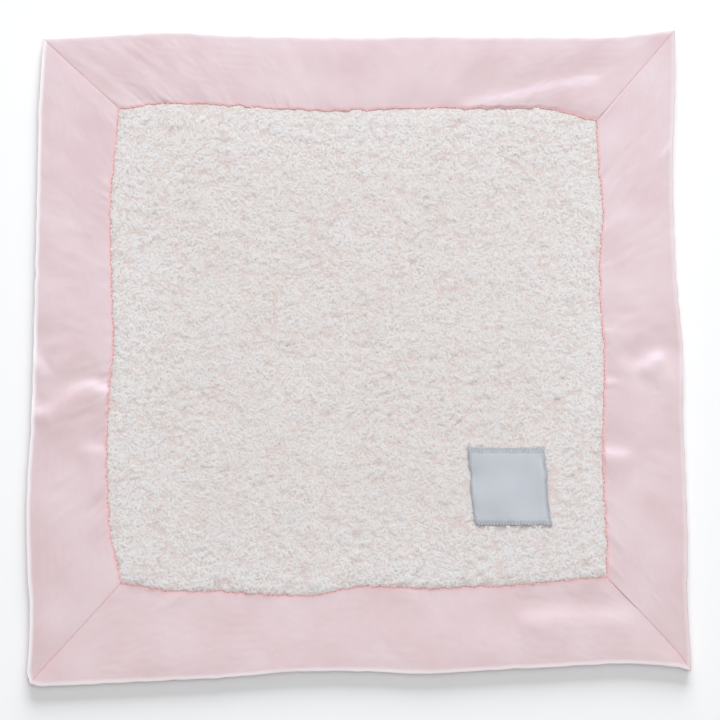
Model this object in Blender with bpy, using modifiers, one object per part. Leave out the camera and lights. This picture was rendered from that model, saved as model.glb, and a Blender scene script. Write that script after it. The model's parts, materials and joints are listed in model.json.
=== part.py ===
"""A comfort blanket lovey lying flat: a square of curly plush in a mitred satin border, with a satin back.

Metres, +Z up. The blanket lies on z = 0 with its top edge towards +Y, and the origin is under the middle of
its box. Each border strip is one shell of satin that starts at the hem, rolls round the outer edge, arches over
a strip of wadding, dips into the seam with the plush and is tucked below the plush as its seam allowance.
"""

import math

import bmesh
import bpy
from mathutils import Vector

# The blanket as a whole
SIDE = 0.360
BORDER_WIDTH = 0.044
CLEARANCE = 0.0003

# Cloth
SATIN_THICKNESS = 0.0005
BACK_THICKNESS = 0.0005

# The border's section: the roll at the outer edge, the arch over the wadding, and the tuck below the plush
ROLL_DEPTH = 0.003
ROLL_MIDDLE_HEIGHT = 0.0030
ROLL_TOP_HEIGHT = 0.0054
CREST_HEIGHT = 0.0066
SEAM_HEIGHT = 0.0030
TUCK_DROP = 0.003
TUCK_LENGTH = 0.008
FOLD_RISE = 0.0012
BACK_INSET = 0.001
MITRE_GAP = 0.0003

# Wadding inside the border
WADDING_FROM_EDGE = 0.0045
WADDING_FROM_SEAM = 0.007
WADDING_END_GAP = 0.0016

# The plush panel
PLUSH_HEIGHT = 0.0085
PLUSH_EDGE_HEIGHT = 0.0052
PLUSH_SHOULDER = 0.012
PLUSH_INSET = 0.0008

# The label, placed from the plush's right bottom corner
LABEL_WIDTH = 0.041
LABEL_HEIGHT = 0.0427
LABEL_THICKNESS = 0.0006
LABEL_FROM_RIGHT = 0.031
LABEL_FROM_BOTTOM = 0.0285
LABEL_PILLOW = 0.0006
LABEL_LEAN_SHARE = 0.09

# Threads
THREAD_DIAMETER = 0.0004
SEAM_THREAD_LIFT = 0.0009
HEM_THREAD_INSET = 0.0005
THREAD_END_GAP = 0.0012
ZIGZAG_BITE = 0.0024
ZIGZAG_OVERHANG = 0.0003
ZIGZAG_PITCH = 0.0030

# How far the edges stray from straight lines as the soft blanket lies
EDGE_WANDER = 0.005
SEAM_WANDER = 0.008

# Clockwise from above, so that the left of each run is outwards
SIDES = {
    "top": ("left_top", "right_top"),
    "right": ("right_top", "right_bottom"),
    "bottom": ("right_bottom", "left_bottom"),
    "left": ("left_bottom", "left_top"),
}

# Corners of the outer edge, as shares of the side
CORNER_SHARES = {
    "left_top": (-0.484, 0.490),
    "right_top": (0.481, 0.503),
    "right_bottom": (0.506, -0.470),
    "left_bottom": (-0.510, -0.500),
}

# How far in from each of those the plush has its corner, as shares of the border's width
INSET_SHARES = {
    "left_top": (0.95, 0.87),
    "right_top": (0.98, 1.13),
    "right_bottom": (1.06, 1.13),
    "left_bottom": (1.19, 1.30),
}

# How far the outer edge and the seam stray outwards at even steps along each side, as shares of their wander
EDGE_SHARES = {
    "top": (0.25, 0.52, 0.05, -0.18, -0.35, -0.29, -0.51, -0.56, -0.67),
    "right": (-0.20, -0.62, -0.71, -0.52, -0.05, -0.22, -0.11, -0.05, -0.26),
    "bottom": (-0.65, -0.52, -0.37, -0.15, -0.64, -0.81, -0.40, -0.23, -0.09),
    "left": (-0.24, 0.27, 0.47, 0.23, 0.16, 0.18, 0.22, 0.21, 0.26),
}
SEAM_SHARES = {
    "top": (0.44, 0.44, 0.33, 0.23, 0.31, 0.52, 0.62, 0.66, 0.72),
    "right": (0.10, 0.30, 0.02, 0.00, 0.20, 0.08, -0.06, -0.06, 0.05),
    "bottom": (0.18, 0.45, 0.54, 0.56, 0.40, 0.92, 0.88, 0.60, 0.50),
    "left": (0.68, 0.82, 0.90, 0.76, 0.44, 0.52, 0.58, 0.57, 0.30),
}

# How high the satin's folds lift its crest at even steps along each side, as shares of the fold's rise
FOLD_SHARES = {
    "top": (0.10, -0.20, 0.15, -0.10, 0.10, -0.15, 0.45, 0.80, 0.30),
    "right": (-0.10, 0.10, -0.20, 0.20, 0.95, -0.35, 0.20, -0.10, 0.15),
    "bottom": (0.60, 0.50, -0.10, 0.15, -0.25, 0.20, -0.15, 0.25, 0.10),
    "left": (0.15, -0.10, 0.30, -0.30, 0.90, -0.20, 0.15, -0.10, 0.10),
}

# The arch between the roll and the seam: how far along it, and how high towards the crest
ARCH_SHARES = ((0.12, 0.50), (0.30, 0.93), (0.50, 1.00), (0.72, 0.75), (0.88, 0.05))

# The roll at the edge, from its lip below to its top, as shares of a quarter turn
ROLL_TURN_SHARES = (-1.0, -0.5, 0.0, 0.5, 1.0)

# Steps of the meshes
STEPS_ALONG = 32
PLUSH_MIDDLE_STEPS = 12
LABEL_STEPS = 6
MITRE_STEPS = 8
PLUSH_RIM_SHARES = (0.00, 0.08, 0.25, 0.46, 0.70, 1.00)

# Base colour, roughness and metallic of each cloth
FINISHES = {
    "ivory_plush": ((0.76, 0.69, 0.66), 0.95, 0.0),
    "pink_satin": ((0.78, 0.58, 0.60), 0.38, 0.0),
    "white_wadding": ((0.85, 0.84, 0.82), 0.95, 0.0),
    "grey_label": ((0.55, 0.59, 0.64), 0.70, 0.0),
    "pink_thread": ((0.72, 0.48, 0.49), 0.55, 0.0),
    "label_thread": ((0.68, 0.70, 0.72), 0.55, 0.0),
}

LIP_HEIGHT = BACK_THICKNESS + CLEARANCE + SATIN_THICKNESS / 2
PLUSH_RIM = max(PLUSH_SHOULDER, TUCK_LENGTH)


def along(shares, t):
    """Reads a smooth curve through evenly spaced shares, with nought at both of its ends."""
    knots = (0, *shares, 0)
    at = t * (len(knots) - 1)
    step = min(int(at), len(knots) - 2)
    part = at - step
    before, here = knots[max(step - 1, 0)], knots[step]
    after, beyond = knots[step + 1], knots[min(step + 2, len(knots) - 1)]
    bend = 2 * before - 5 * here + 4 * after - beyond
    twist = 3 * (here - after) + beyond - before
    return here + part / 2 * (after - before + part * (bend + part * twist))


def edge_corner(name):
    """A corner of the outer edge, before the blanket is centred."""
    x_share, y_share = CORNER_SHARES[name]
    return Vector((x_share * SIDE, y_share * SIDE, 0))


def seam_corner(name):
    """A corner of the plush's seam, in from the corner of the outer edge."""
    x_share, y_share = INSET_SHARES[name]
    at = edge_corner(name)
    inset = Vector((math.copysign(x_share, at.x), math.copysign(y_share, at.y), 0))
    return at - inset * BORDER_WIDTH


def strayed(side, t, corner, wander, shares):
    """A point along one side, between two corners and strayed outwards by its wander."""
    start, end = (corner(name) for name in SIDES[side])
    run = end - start
    outwards = Vector((-run.y, run.x, 0)).normalized()
    return start + run * t + outwards * wander * along(shares[side], t)


def box_middle():
    """The middle of the box round the outer edge."""
    steps = [step / STEPS_ALONG for step in range(STEPS_ALONG)]
    edge = [strayed(side, t, edge_corner, EDGE_WANDER, EDGE_SHARES) for side in SIDES for t in steps]
    middle = [(min(p[axis] for p in edge) + max(p[axis] for p in edge)) / 2 for axis in range(2)]
    return Vector((*middle, 0))


MIDDLE = box_middle()


def plan(side, t, inwards):
    """A point on the plan: the border's width reaches from the outer edge to the seam, and more goes past it."""
    edge = strayed(side, t, edge_corner, EDGE_WANDER, EDGE_SHARES)
    seam = strayed(side, t, seam_corner, SEAM_WANDER, SEAM_SHARES)
    past = max(inwards - BORDER_WIDTH, 0)
    share = min(inwards / BORDER_WIDTH, 1)
    return edge + (seam - edge) * share + (seam - edge).normalized() * past - MIDDLE


def border_section():
    """The satin's middle line across the border, from hem to tuck: distance in, height, and share of the folds."""
    section = []
    below = ROLL_MIDDLE_HEIGHT - LIP_HEIGHT
    above = ROLL_TOP_HEIGHT - ROLL_MIDDLE_HEIGHT
    for turn_share in ROLL_TURN_SHARES:
        angle = turn_share * math.pi / 2
        rise = math.sin(angle) * (above if angle > 0 else below)
        section.append((ROLL_DEPTH * (1 - math.cos(angle)), ROLL_MIDDLE_HEIGHT + rise, 0))
    for across_share, rise_share in ARCH_SHARES:
        inwards = ROLL_DEPTH + across_share * (BORDER_WIDTH - ROLL_DEPTH)
        height = ROLL_TOP_HEIGHT + rise_share * (CREST_HEIGHT - ROLL_TOP_HEIGHT)
        section.append((inwards, height, rise_share))
    section.append((BORDER_WIDTH, SEAM_HEIGHT, 0))
    section.append((BORDER_WIDTH + TUCK_DROP, LIP_HEIGHT, 0))
    section.append((BORDER_WIDTH + TUCK_LENGTH, LIP_HEIGHT, 0))
    return section


def satin_height(side, t, inwards):
    """The height of the satin's middle line over a point inside the border, on the section's straight runs."""
    upper = border_section()[len(ROLL_TURN_SHARES) - 1 :]
    for (near, low, low_fold), (far, high, high_fold) in zip(upper, upper[1:]):
        if near <= inwards <= far:
            part = (inwards - near) / (far - near)
            fold = low_fold + (high_fold - low_fold) * part
            return low + (high - low) * part + fold * FOLD_RISE * along(FOLD_SHARES[side], t)
    return upper[-1][1]


def shortened(t, gap, length):
    """Moves a share of a length in from both ends by a gap."""
    margin = gap / length
    return margin + (1 - 2 * margin) * t


def material(name):
    """The finish of one cloth or thread."""
    finish = bpy.data.materials.get(name)
    if finish is None:
        colour, roughness, metallic = FINISHES[name]
        finish = bpy.data.materials.new(name)
        finish.use_nodes = True
        shader = finish.node_tree.nodes["Principled BSDF"]
        shader.inputs["Base Color"].default_value = (*colour, 1)
        shader.inputs["Roughness"].default_value = roughness
        shader.inputs["Metallic"].default_value = metallic
    return finish


def add(name, data, finish, parent, location=(0, 0, 0)):
    """Adds a piece to the blanket's collection."""
    piece = bpy.data.objects.new(name, data)
    piece.location = location
    piece.parent = parent
    data.materials.append(material(finish))
    parent.users_collection[0].objects.link(piece)
    return piece


def sheet(name, columns, rows, place):
    """A mesh grid of cloth: place turns two shares and a layer of 0 into a point."""
    return formed(name, columns, rows, place, slab=False)


def slab(name, columns, rows, place):
    """A closed pad: place turns two shares and a layer, 0 below and 1 above, into a point."""
    return formed(name, columns, rows, place, slab=True)


def formed(name, columns, rows, place, slab):
    """Builds a unit grid, gives it an upper layer if it is a slab, and moves each vertex to its place."""
    form = bmesh.new()
    bmesh.ops.create_grid(form, x_segments=columns, y_segments=rows, size=0.5)
    if slab:
        raised = bmesh.ops.extrude_face_region(form, geom=form.faces[:], use_keep_orig=True)
        upper = [part for part in raised["geom"] if isinstance(part, bmesh.types.BMVert)]
        bmesh.ops.translate(form, verts=upper, vec=(0, 0, 1))
        bmesh.ops.recalc_face_normals(form, faces=form.faces[:])
    for vertex in form.verts:
        vertex.co = place(vertex.co.x + 0.5, vertex.co.y + 0.5, vertex.co.z)
    if slab and form.calc_volume(signed=True) < 0:
        bmesh.ops.reverse_faces(form, faces=form.faces[:])
    mesh = bpy.data.meshes.new(name)
    form.to_mesh(mesh)
    form.free()
    mesh.shade_smooth()
    return mesh


def make_border(parent):
    """Four mitred satin strips."""
    section = border_section()

    def strip_place(side):
        def place(across_share, along_share, layer):
            inwards, height, fold = section[round(across_share * (len(section) - 1))]
            t = shortened(along_share, MITRE_GAP, SIDE)
            point = plan(side, t, inwards)
            point.z = height + fold * FOLD_RISE * along(FOLD_SHARES[side], t)
            return point

        return place

    for side in SIDES:
        name = f"border_{side}"
        mesh = sheet(name, len(section) - 1, STEPS_ALONG, strip_place(side))
        strip = add(name, mesh, "pink_satin", parent)
        thickness = strip.modifiers.new("satin thickness", "SOLIDIFY")
        thickness.thickness = SATIN_THICKNESS
        thickness.offset = 0


def make_wadding(parent):
    """Four strips of wadding that fill the border's arch and stop short of the mitres."""
    arch = [ROLL_DEPTH + share * (BORDER_WIDTH - ROLL_DEPTH) for share, rise in ARCH_SHARES]
    first, last = WADDING_FROM_EDGE, BORDER_WIDTH - WADDING_FROM_SEAM
    stations = (first, *(inwards for inwards in arch if first < inwards < last), last)

    def strip_place(side):
        def place(across_share, along_share, layer):
            inwards = stations[round(across_share * (len(stations) - 1))]
            t = shortened(along_share, WADDING_END_GAP, SIDE)
            point = plan(side, t, inwards)
            point.z = BACK_THICKNESS + CLEARANCE
            if layer:
                point.z = satin_height(side, t, inwards) - SATIN_THICKNESS / 2 - CLEARANCE
            return point

        return place

    for side in SIDES:
        name = f"wadding_{side}"
        mesh = slab(name, len(stations) - 1, STEPS_ALONG, strip_place(side))
        add(name, mesh, "white_wadding", parent)


def plush_plan(x_share, y_share):
    """A point inside the plush's outline, blended from its four edges."""
    inwards = BORDER_WIDTH + PLUSH_INSET
    left, right = plan("left", y_share, inwards), plan("right", 1 - y_share, inwards)
    bottom, top = plan("bottom", 1 - x_share, inwards), plan("top", x_share, inwards)
    corners = (
        plan("left", 0, inwards) * (1 - x_share) * (1 - y_share)
        + plan("left", 1, inwards) * (1 - x_share) * y_share
        + plan("right", 0, inwards) * x_share * y_share
        + plan("right", 1, inwards) * x_share * (1 - y_share)
    )
    across = left * (1 - x_share) + right * x_share
    upwards = bottom * (1 - y_share) + top * y_share
    return across + upwards - corners


def plush_stations():
    """Distances across the plush, close together in its rolled rim and even over its middle."""
    width = SIDE - 2 * (BORDER_WIDTH + PLUSH_INSET)
    rim = [share * PLUSH_RIM for share in PLUSH_RIM_SHARES]
    stretch = width - 2 * PLUSH_RIM
    middle = [PLUSH_RIM + stretch * step / PLUSH_MIDDLE_STEPS for step in range(1, PLUSH_MIDDLE_STEPS)]
    return width, rim + middle + [width - distance for distance in reversed(rim)]


def plush_underside(from_rim):
    """The height of the plush's underside: on the tucked satin near its rim, and on the back further in."""
    if from_rim > PLUSH_RIM:
        return BACK_THICKNESS + CLEARANCE
    dropped = min((from_rim + PLUSH_INSET) / TUCK_DROP, 1)
    satin = SEAM_HEIGHT + (LIP_HEIGHT - SEAM_HEIGHT) * dropped
    return satin + SATIN_THICKNESS + CLEARANCE


def make_plush(parent):
    """The curly plush as one crowned pad with a rolled rim."""
    width, stations = plush_stations()

    def shoulder(from_rim):
        share = min(from_rim / PLUSH_SHOULDER, 1)
        return math.sqrt(1 - (1 - share) ** 2)

    def place(x_step, y_step, layer):
        x_at = stations[round(x_step * (len(stations) - 1))]
        y_at = stations[round(y_step * (len(stations) - 1))]
        point = plush_plan(x_at / width, y_at / width)
        x_rim, y_rim = min(x_at, width - x_at), min(y_at, width - y_at)
        if layer:
            crown = shoulder(x_rim) * shoulder(y_rim)
            point.z = PLUSH_EDGE_HEIGHT + (PLUSH_HEIGHT - PLUSH_EDGE_HEIGHT) * crown
        else:
            point.z = plush_underside(min(x_rim, y_rim))
        return point

    count = len(stations) - 1
    add("plush_panel", slab("plush_panel", count, count, place), "ivory_plush", parent)


def make_back(parent):
    """The back panel, a flat cut of satin just inside the outer edge."""
    outline = bpy.data.curves.new("back_panel", "CURVE")
    outline.dimensions = "2D"
    outline.fill_mode = "BOTH"
    outline.extrude = BACK_THICKNESS / 2
    points = [plan(side, step / STEPS_ALONG, BACK_INSET) for side in SIDES for step in range(STEPS_ALONG)]
    spline = outline.splines.new("POLY")
    spline.points.add(len(points) - 1)
    for knot, point in zip(spline.points, points):
        knot.co = (point.x, point.y, 0, 1)
    spline.use_cyclic_u = True
    add("back_panel", outline, "pink_satin", parent, (0, 0, BACK_THICKNESS / 2))


def label_place(x_share, y_share):
    """A point on the label, from its middle, with its crown but without its thickness."""
    x = (x_share - 0.5) * LABEL_WIDTH - (y_share - 0.5) * LABEL_HEIGHT * LABEL_LEAN_SHARE
    y = (y_share - 0.5) * LABEL_HEIGHT
    inside = 16 * x_share * (1 - x_share) * y_share * (1 - y_share)
    return Vector((x, y, LABEL_PILLOW * math.sqrt(max(inside, 0))))


def make_label(parent):
    """The woven label, lying on the plush."""

    def place(x_share, y_share, layer):
        point = label_place(x_share, y_share)
        point.z += LABEL_THICKNESS * layer
        return point

    corner = seam_corner("right_bottom") - MIDDLE
    x = corner.x - LABEL_FROM_RIGHT - LABEL_WIDTH / 2
    y = corner.y + LABEL_FROM_BOTTOM + LABEL_HEIGHT / 2
    mesh = slab("label_patch", LABEL_STEPS, LABEL_STEPS, place)
    return add("label_patch", mesh, "grey_label", parent, (x, y, PLUSH_HEIGHT + CLEARANCE))


def thread(name, points, finish, parent):
    """One unbroken thread along its points."""
    line = bpy.data.curves.new(name, "CURVE")
    line.dimensions = "3D"
    line.bevel_depth = THREAD_DIAMETER / 2
    line.bevel_resolution = 0
    line.use_fill_caps = True
    spline = line.splines.new("POLY")
    spline.points.add(len(points) - 1)
    for knot, point in zip(spline.points, points):
        knot.co = (*point, 1)
    return add(name, line, finish, parent)


def make_zigzag(label):
    """The zigzag stitch round the label, over its edge and back again at each pitch."""
    bites = {"x": ZIGZAG_BITE / LABEL_WIDTH, "y": ZIGZAG_BITE / LABEL_HEIGHT}
    hangs = {"x": ZIGZAG_OVERHANG / LABEL_WIDTH, "y": ZIGZAG_OVERHANG / LABEL_HEIGHT}
    lift = Vector((0, 0, LABEL_THICKNESS + CLEARANCE + THREAD_DIAMETER / 2))
    edges = (("x", 0, 1), ("y", 1, 1), ("x", 1, -1), ("y", 0, -1))
    points = []
    for run, fixed, way in edges:
        length, other = (LABEL_WIDTH, "y") if run == "x" else (LABEL_HEIGHT, "x")
        first = 2 * ZIGZAG_BITE / length
        count = 2 * round((length - 4 * ZIGZAG_BITE) / ZIGZAG_PITCH) + 1
        for step in range(count):
            run_share = first + (1 - 2 * first) * step / (count - 1)
            run_share = run_share if way > 0 else 1 - run_share
            depth = -hangs[other] if step % 2 else bites[other]
            side_share = depth if fixed == 0 else 1 - depth
            shares = (run_share, side_share) if run == "x" else (side_share, run_share)
            points.append(label_place(*shares) + lift)
    thread("label_zigzag_thread", points, "label_thread", label)


def make_threads(parent):
    """Stitching of the plush seam, the outer hem and the four mitres."""
    radius = THREAD_DIAMETER / 2

    def row(side, inwards, height):
        steps = (shortened(step / STEPS_ALONG, THREAD_END_GAP, SIDE) for step in range(STEPS_ALONG + 1))
        return [plan(side, t, inwards) + Vector((0, 0, height)) for t in steps]

    for side in SIDES:
        seam = row(side, BORDER_WIDTH, SEAM_HEIGHT + SEAM_THREAD_LIFT)
        thread(f"seam_thread_{side}", seam, "pink_thread", parent)
        hem = row(side, HEM_THREAD_INSET, radius + CLEARANCE / 2)
        thread(f"hem_thread_{side}", hem, "pink_thread", parent)
    below = SATIN_THICKNESS / 2 + CLEARANCE + radius
    first, last = WADDING_FROM_EDGE, BORDER_WIDTH - WADDING_FROM_SEAM
    for side, (corner, next_corner) in SIDES.items():
        points = []
        for step in range(MITRE_STEPS + 1):
            inwards = first + (last - first) * step / MITRE_STEPS
            point = plan(side, 0, inwards)
            point.z = satin_height(side, 0, inwards) - below
            points.append(point)
        thread(f"mitre_thread_{corner}", points, "pink_thread", parent)


def main():
    for leftover in list(bpy.data.objects):
        bpy.data.objects.remove(leftover)
    collection = bpy.data.collections.new("comfort_blanket_lovey")
    bpy.context.scene.collection.children.link(collection)
    lovey = bpy.data.objects.new("lovey", None)
    collection.objects.link(lovey)
    make_back(lovey)
    make_wadding(lovey)
    make_border(lovey)
    make_plush(lovey)
    make_zigzag(make_label(lovey))
    make_threads(lovey)


main()
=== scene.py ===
"""The looks of a comfort blanket lovey: a square of curly plush in a mitred satin border.

Metres, +Z up, with the blanket lying on z = 0 and its top edge towards +Y. The plan, from the
corners to the way the edges stray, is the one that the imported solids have.
"""

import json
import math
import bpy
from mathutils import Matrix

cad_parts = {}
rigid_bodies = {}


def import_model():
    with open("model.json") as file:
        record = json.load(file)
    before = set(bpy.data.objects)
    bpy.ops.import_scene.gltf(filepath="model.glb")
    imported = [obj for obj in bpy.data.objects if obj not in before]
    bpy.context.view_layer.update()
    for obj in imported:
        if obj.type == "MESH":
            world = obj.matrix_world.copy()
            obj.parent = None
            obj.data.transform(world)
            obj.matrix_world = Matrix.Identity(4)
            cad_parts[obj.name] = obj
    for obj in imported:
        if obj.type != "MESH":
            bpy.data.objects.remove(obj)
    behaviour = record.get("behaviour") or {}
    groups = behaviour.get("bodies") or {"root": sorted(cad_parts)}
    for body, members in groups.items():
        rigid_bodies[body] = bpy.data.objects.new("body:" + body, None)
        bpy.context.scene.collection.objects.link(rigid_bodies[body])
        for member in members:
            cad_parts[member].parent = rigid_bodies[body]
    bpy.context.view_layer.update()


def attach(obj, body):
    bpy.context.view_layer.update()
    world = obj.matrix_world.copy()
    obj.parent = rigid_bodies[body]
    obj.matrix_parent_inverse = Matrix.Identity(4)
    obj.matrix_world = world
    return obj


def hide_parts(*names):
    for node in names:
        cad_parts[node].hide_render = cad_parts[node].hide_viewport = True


bl_info = {
    "name": "Comfort Blanket Lovey",
    "version": (1, 0, 0),
    "blender": (4, 5, 0),
    "location": "View3D > Sidebar > Lovey",
    "description": "Dresses a comfort blanket in padded satin, curly plush and a woven label",
    "category": "Add Mesh",
}

import bmesh
import bpy
import numpy as np
from bpy.props import FloatProperty, FloatVectorProperty, IntProperty, PointerProperty
from bpy.types import Operator, Panel, PropertyGroup
from mathutils import Matrix

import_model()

# The plan, as the solids have it
SIDE = 0.360
BORDER_WIDTH = 0.044
EDGE_WANDER = 0.005
SEAM_WANDER = 0.008
SIDES = {
    "top": ("left_top", "right_top"),
    "right": ("right_top", "right_bottom"),
    "bottom": ("right_bottom", "left_bottom"),
    "left": ("left_bottom", "left_top"),
}
CORNER_SHARES = {
    "left_top": (-0.484, 0.490),
    "right_top": (0.481, 0.503),
    "right_bottom": (0.506, -0.470),
    "left_bottom": (-0.510, -0.500),
}
INSET_SHARES = {
    "left_top": (0.95, 0.87),
    "right_top": (0.98, 1.13),
    "right_bottom": (1.06, 1.13),
    "left_bottom": (1.19, 1.30),
}
EDGE_SHARES = {
    "top": (0.25, 0.52, 0.05, -0.18, -0.35, -0.29, -0.51, -0.56, -0.67),
    "right": (-0.20, -0.62, -0.71, -0.52, -0.05, -0.22, -0.11, -0.05, -0.26),
    "bottom": (-0.65, -0.52, -0.37, -0.15, -0.64, -0.81, -0.40, -0.23, -0.09),
    "left": (-0.24, 0.27, 0.47, 0.23, 0.16, 0.18, 0.22, 0.21, 0.26),
}
SEAM_SHARES = {
    "top": (0.44, 0.44, 0.33, 0.23, 0.31, 0.52, 0.62, 0.66, 0.72),
    "right": (0.10, 0.30, 0.02, 0.00, 0.20, 0.08, -0.06, -0.06, 0.05),
    "bottom": (0.18, 0.45, 0.54, 0.56, 0.40, 0.92, 0.88, 0.60, 0.50),
    "left": (0.68, 0.82, 0.90, 0.76, 0.44, 0.52, 0.58, 0.57, 0.30),
}
FOLD_SHARES = {
    "top": (0.10, -0.20, 0.15, -0.10, 0.10, -0.15, 0.45, 0.80, 0.30),
    "right": (-0.10, 0.10, -0.20, 0.20, 0.95, -0.35, 0.20, -0.10, 0.15),
    "bottom": (0.60, 0.50, -0.10, 0.15, -0.25, 0.20, -0.15, 0.25, 0.10),
    "left": (0.15, -0.10, 0.30, -0.30, 0.90, -0.20, 0.15, -0.10, 0.10),
}
LABEL_LEAN_SHARE = 0.09

# How far each outer corner is pulled in or out, and how far round it that reaches
CORNER_PULLS = {
    "left_top": (0.0005, -0.0001),
    "right_top": (-0.0003, -0.0003),
    "right_bottom": (-0.0003, -0.0014),
    "left_bottom": (0.0018, 0.0018),
}
PULL_REACH = 0.0055

# The right bottom mitre bows towards the right border
MITRE_BOW = 0.0007
BOW_REACH = 0.015

# How far a fold's lift reaches from its line, and how long it fades at the line's ends
FOLD_REACH = 0.013
FOLD_FADE = 0.010
FOLD_STEPS = 24

# The seam's small scallops, how far a side's edge rolls up, and how strong the painted highlight on the
# satin's rim is at each side
SCALLOP_RISE = 0.00045
SCALLOP_PITCH = 0.0085
OUTER_LIFTS = {"bottom": 0.0005}
RIM_HIGHLIGHT_SHARES = {"top": 0.25, "right": 0.3, "bottom": 0.7, "left": 0.9}

# The folds that stand out: the side they cross, their line from above, how high they rise and how wide
FOLDS = (
    (
        "left",
        (
            (-0.1230, -0.0230),
            (-0.1300, -0.0195),
            (-0.1359, -0.0168),
            (-0.1406, -0.0154),
            (-0.1480, -0.0138),
            (-0.1568, -0.0168),
            (-0.1640, -0.0222),
            (-0.1690, -0.0262),
            (-0.1745, -0.0290),
            (-0.1810, -0.0315),
        ),
        -0.0013,
        0.0030,
    ),
    (
        "left",
        ((-0.1796, 0.0099), (-0.1736, 0.0027), (-0.1686, -0.0039), (-0.1664, -0.0116)),
        -0.0002,
        0.0018,
    ),
    (
        "left",
        ((-0.1880, 0.0160), (-0.1800, 0.0068), (-0.1755, -0.0005), (-0.1690, -0.0100)),
        0.0009,
        0.0034,
    ),
    ("left", ((-0.1270, -0.0535), (-0.1400, -0.0492), (-0.1560, -0.0485)), -0.0005, 0.0024),
    (
        "right",
        (
            (0.1980, -0.0380),
            (0.1860, -0.0230),
            (0.1780, -0.0120),
            (0.1715, -0.0030),
            (0.1650, 0.0020),
            (0.1580, -0.0010),
            (0.1500, -0.0100),
        ),
        -0.0014,
        0.0038,
    ),
    ("right", ((0.1270, -0.0112), (0.1372, -0.0116), (0.1460, -0.0124)), 0.0004, 0.0016),
    ("right", ((0.1270, -0.0490), (0.1400, -0.0507), (0.1540, -0.0528)), 0.0009, 0.0034),
    (
        "top",
        (
            (0.0500, 0.1385),
            (0.0737, 0.1432),
            (0.0886, 0.1458),
            (0.1009, 0.1489),
            (0.1115, 0.1515),
            (0.1290, 0.1535),
            (0.1380, 0.1530),
        ),
        0.0006,
        0.0036,
    ),
    ("top", ((0.1130, 0.1395), (0.1260, 0.1425), (0.1420, 0.1440)), 0.0004, 0.0045),
    (
        "bottom",
        ((0.0830, -0.1420), (0.1037, -0.1400), (0.1328, -0.1398), (0.1548, -0.1415)),
        0.0008,
        0.0050,
    ),
)


def length(name, default, description, least=0.0):
    """A size in metres for the sidebar."""
    settings = {"min": least, "subtype": "DISTANCE", "unit": "LENGTH", "precision": 5}
    return FloatProperty(name=name, default=default, description=description, **settings)


def colour(name, default, description):
    """A linear colour for the sidebar."""
    settings = {"subtype": "COLOR", "min": 0, "max": 1}
    return FloatVectorProperty(name=name, default=default, description=description, **settings)


def number(name, default, description, **limits):
    """A plain number for the sidebar."""
    return FloatProperty(name=name, default=default, description=description, **limits)


def power(name, default, description):
    """A lamp's power for the sidebar."""
    return FloatProperty(name=name, default=default, description=description, unit="POWER")


def place(name, default, description):
    """A place in the scene for the sidebar."""
    settings = {"subtype": "TRANSLATION", "unit": "LENGTH"}
    return FloatVectorProperty(name=name, default=default, description=description, **settings)


def extent(name, default, description="Width and height"):
    """Two lengths for the sidebar."""
    return FloatVectorProperty(name=name, size=2, default=default, description=description, unit="LENGTH")


class LoveySatin(PropertyGroup):
    """Sizes and colours of the padded border and the back."""

    thickness: length("Satin thickness", 0.0003, "Thickness of one layer of satin")
    hem_height: length(
        "Hem height", 0.0032, "Height of the seam between the border and the back at the outer edge"
    )
    hem_allowance: length("Hem allowance", 0.004, "How far the satin is turned in at the hem")
    shoulder_height: length("Shoulder height", 0.0064, "Height of the border just inside its rolled edge")
    inner_height: length(
        "Inner height", 0.0061, "Height of the border just outside its seam with the plush"
    )
    crest_height: length("Crest height", 0.0063, "Height of the border over the middle of its wadding")
    seam_height: length("Seam height", 0.0055, "Height of the satin where the plush is sewn on")
    tuck_height: length("Tuck height", 0.0011, "Height of the seam allowance below the plush")
    tuck_length: length("Tuck length", 0.007, "How far the seam allowance reaches below the plush")
    fold_rise: length("Fold rise", 0.0006, "How high the broadest folds lift the crest")
    pucker_rise: length("Pucker rise", 0.0002, "How high the seam's puckers stand")
    pucker_pitch: length("Pucker pitch", 0.0052, "Distance between puckers along the seam")
    wave_rise: length("Wave rise", 0.0002, "How high the slow waves of the satin stand")
    glow: number("Rim's glow", 0.75, "How evenly the rim and the seam shade", min=0, max=1)
    growth: number("Spare cloth", 0.014, "Share by which the satin is too long", min=0, max=0.2)
    loft: number("Loft", 0.08, "Pressure of the wadding under the satin", min=0)
    colour: colour("Satin", (0.716, 0.557, 0.573), "Colour of the pink satin where it is cool and pale")
    warm_colour: colour(
        "Warm satin", (0.668, 0.484, 0.493), "Colour of the same satin where it is warmer"
    )
    # Painted shade: this deeper pink is laid into the seam and mitre creases in place of the shade that
    # falls there.
    crease_shade_colour: colour("Deep satin", (0.80, 0.43, 0.43), "Colour of the satin in its creases")
    # Painted highlight: this near-white colour is laid on the border's rolled rim in place of the light
    # that the edge catches.
    rim_colour: colour(
        "Satin's rim", (0.97, 0.95, 0.96), "Colour of the satin that is drawn thin over the hem's edge"
    )
    thread: colour("Sewing thread", (0.80, 0.52, 0.53), "Colour of the thread in the seams")


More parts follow.
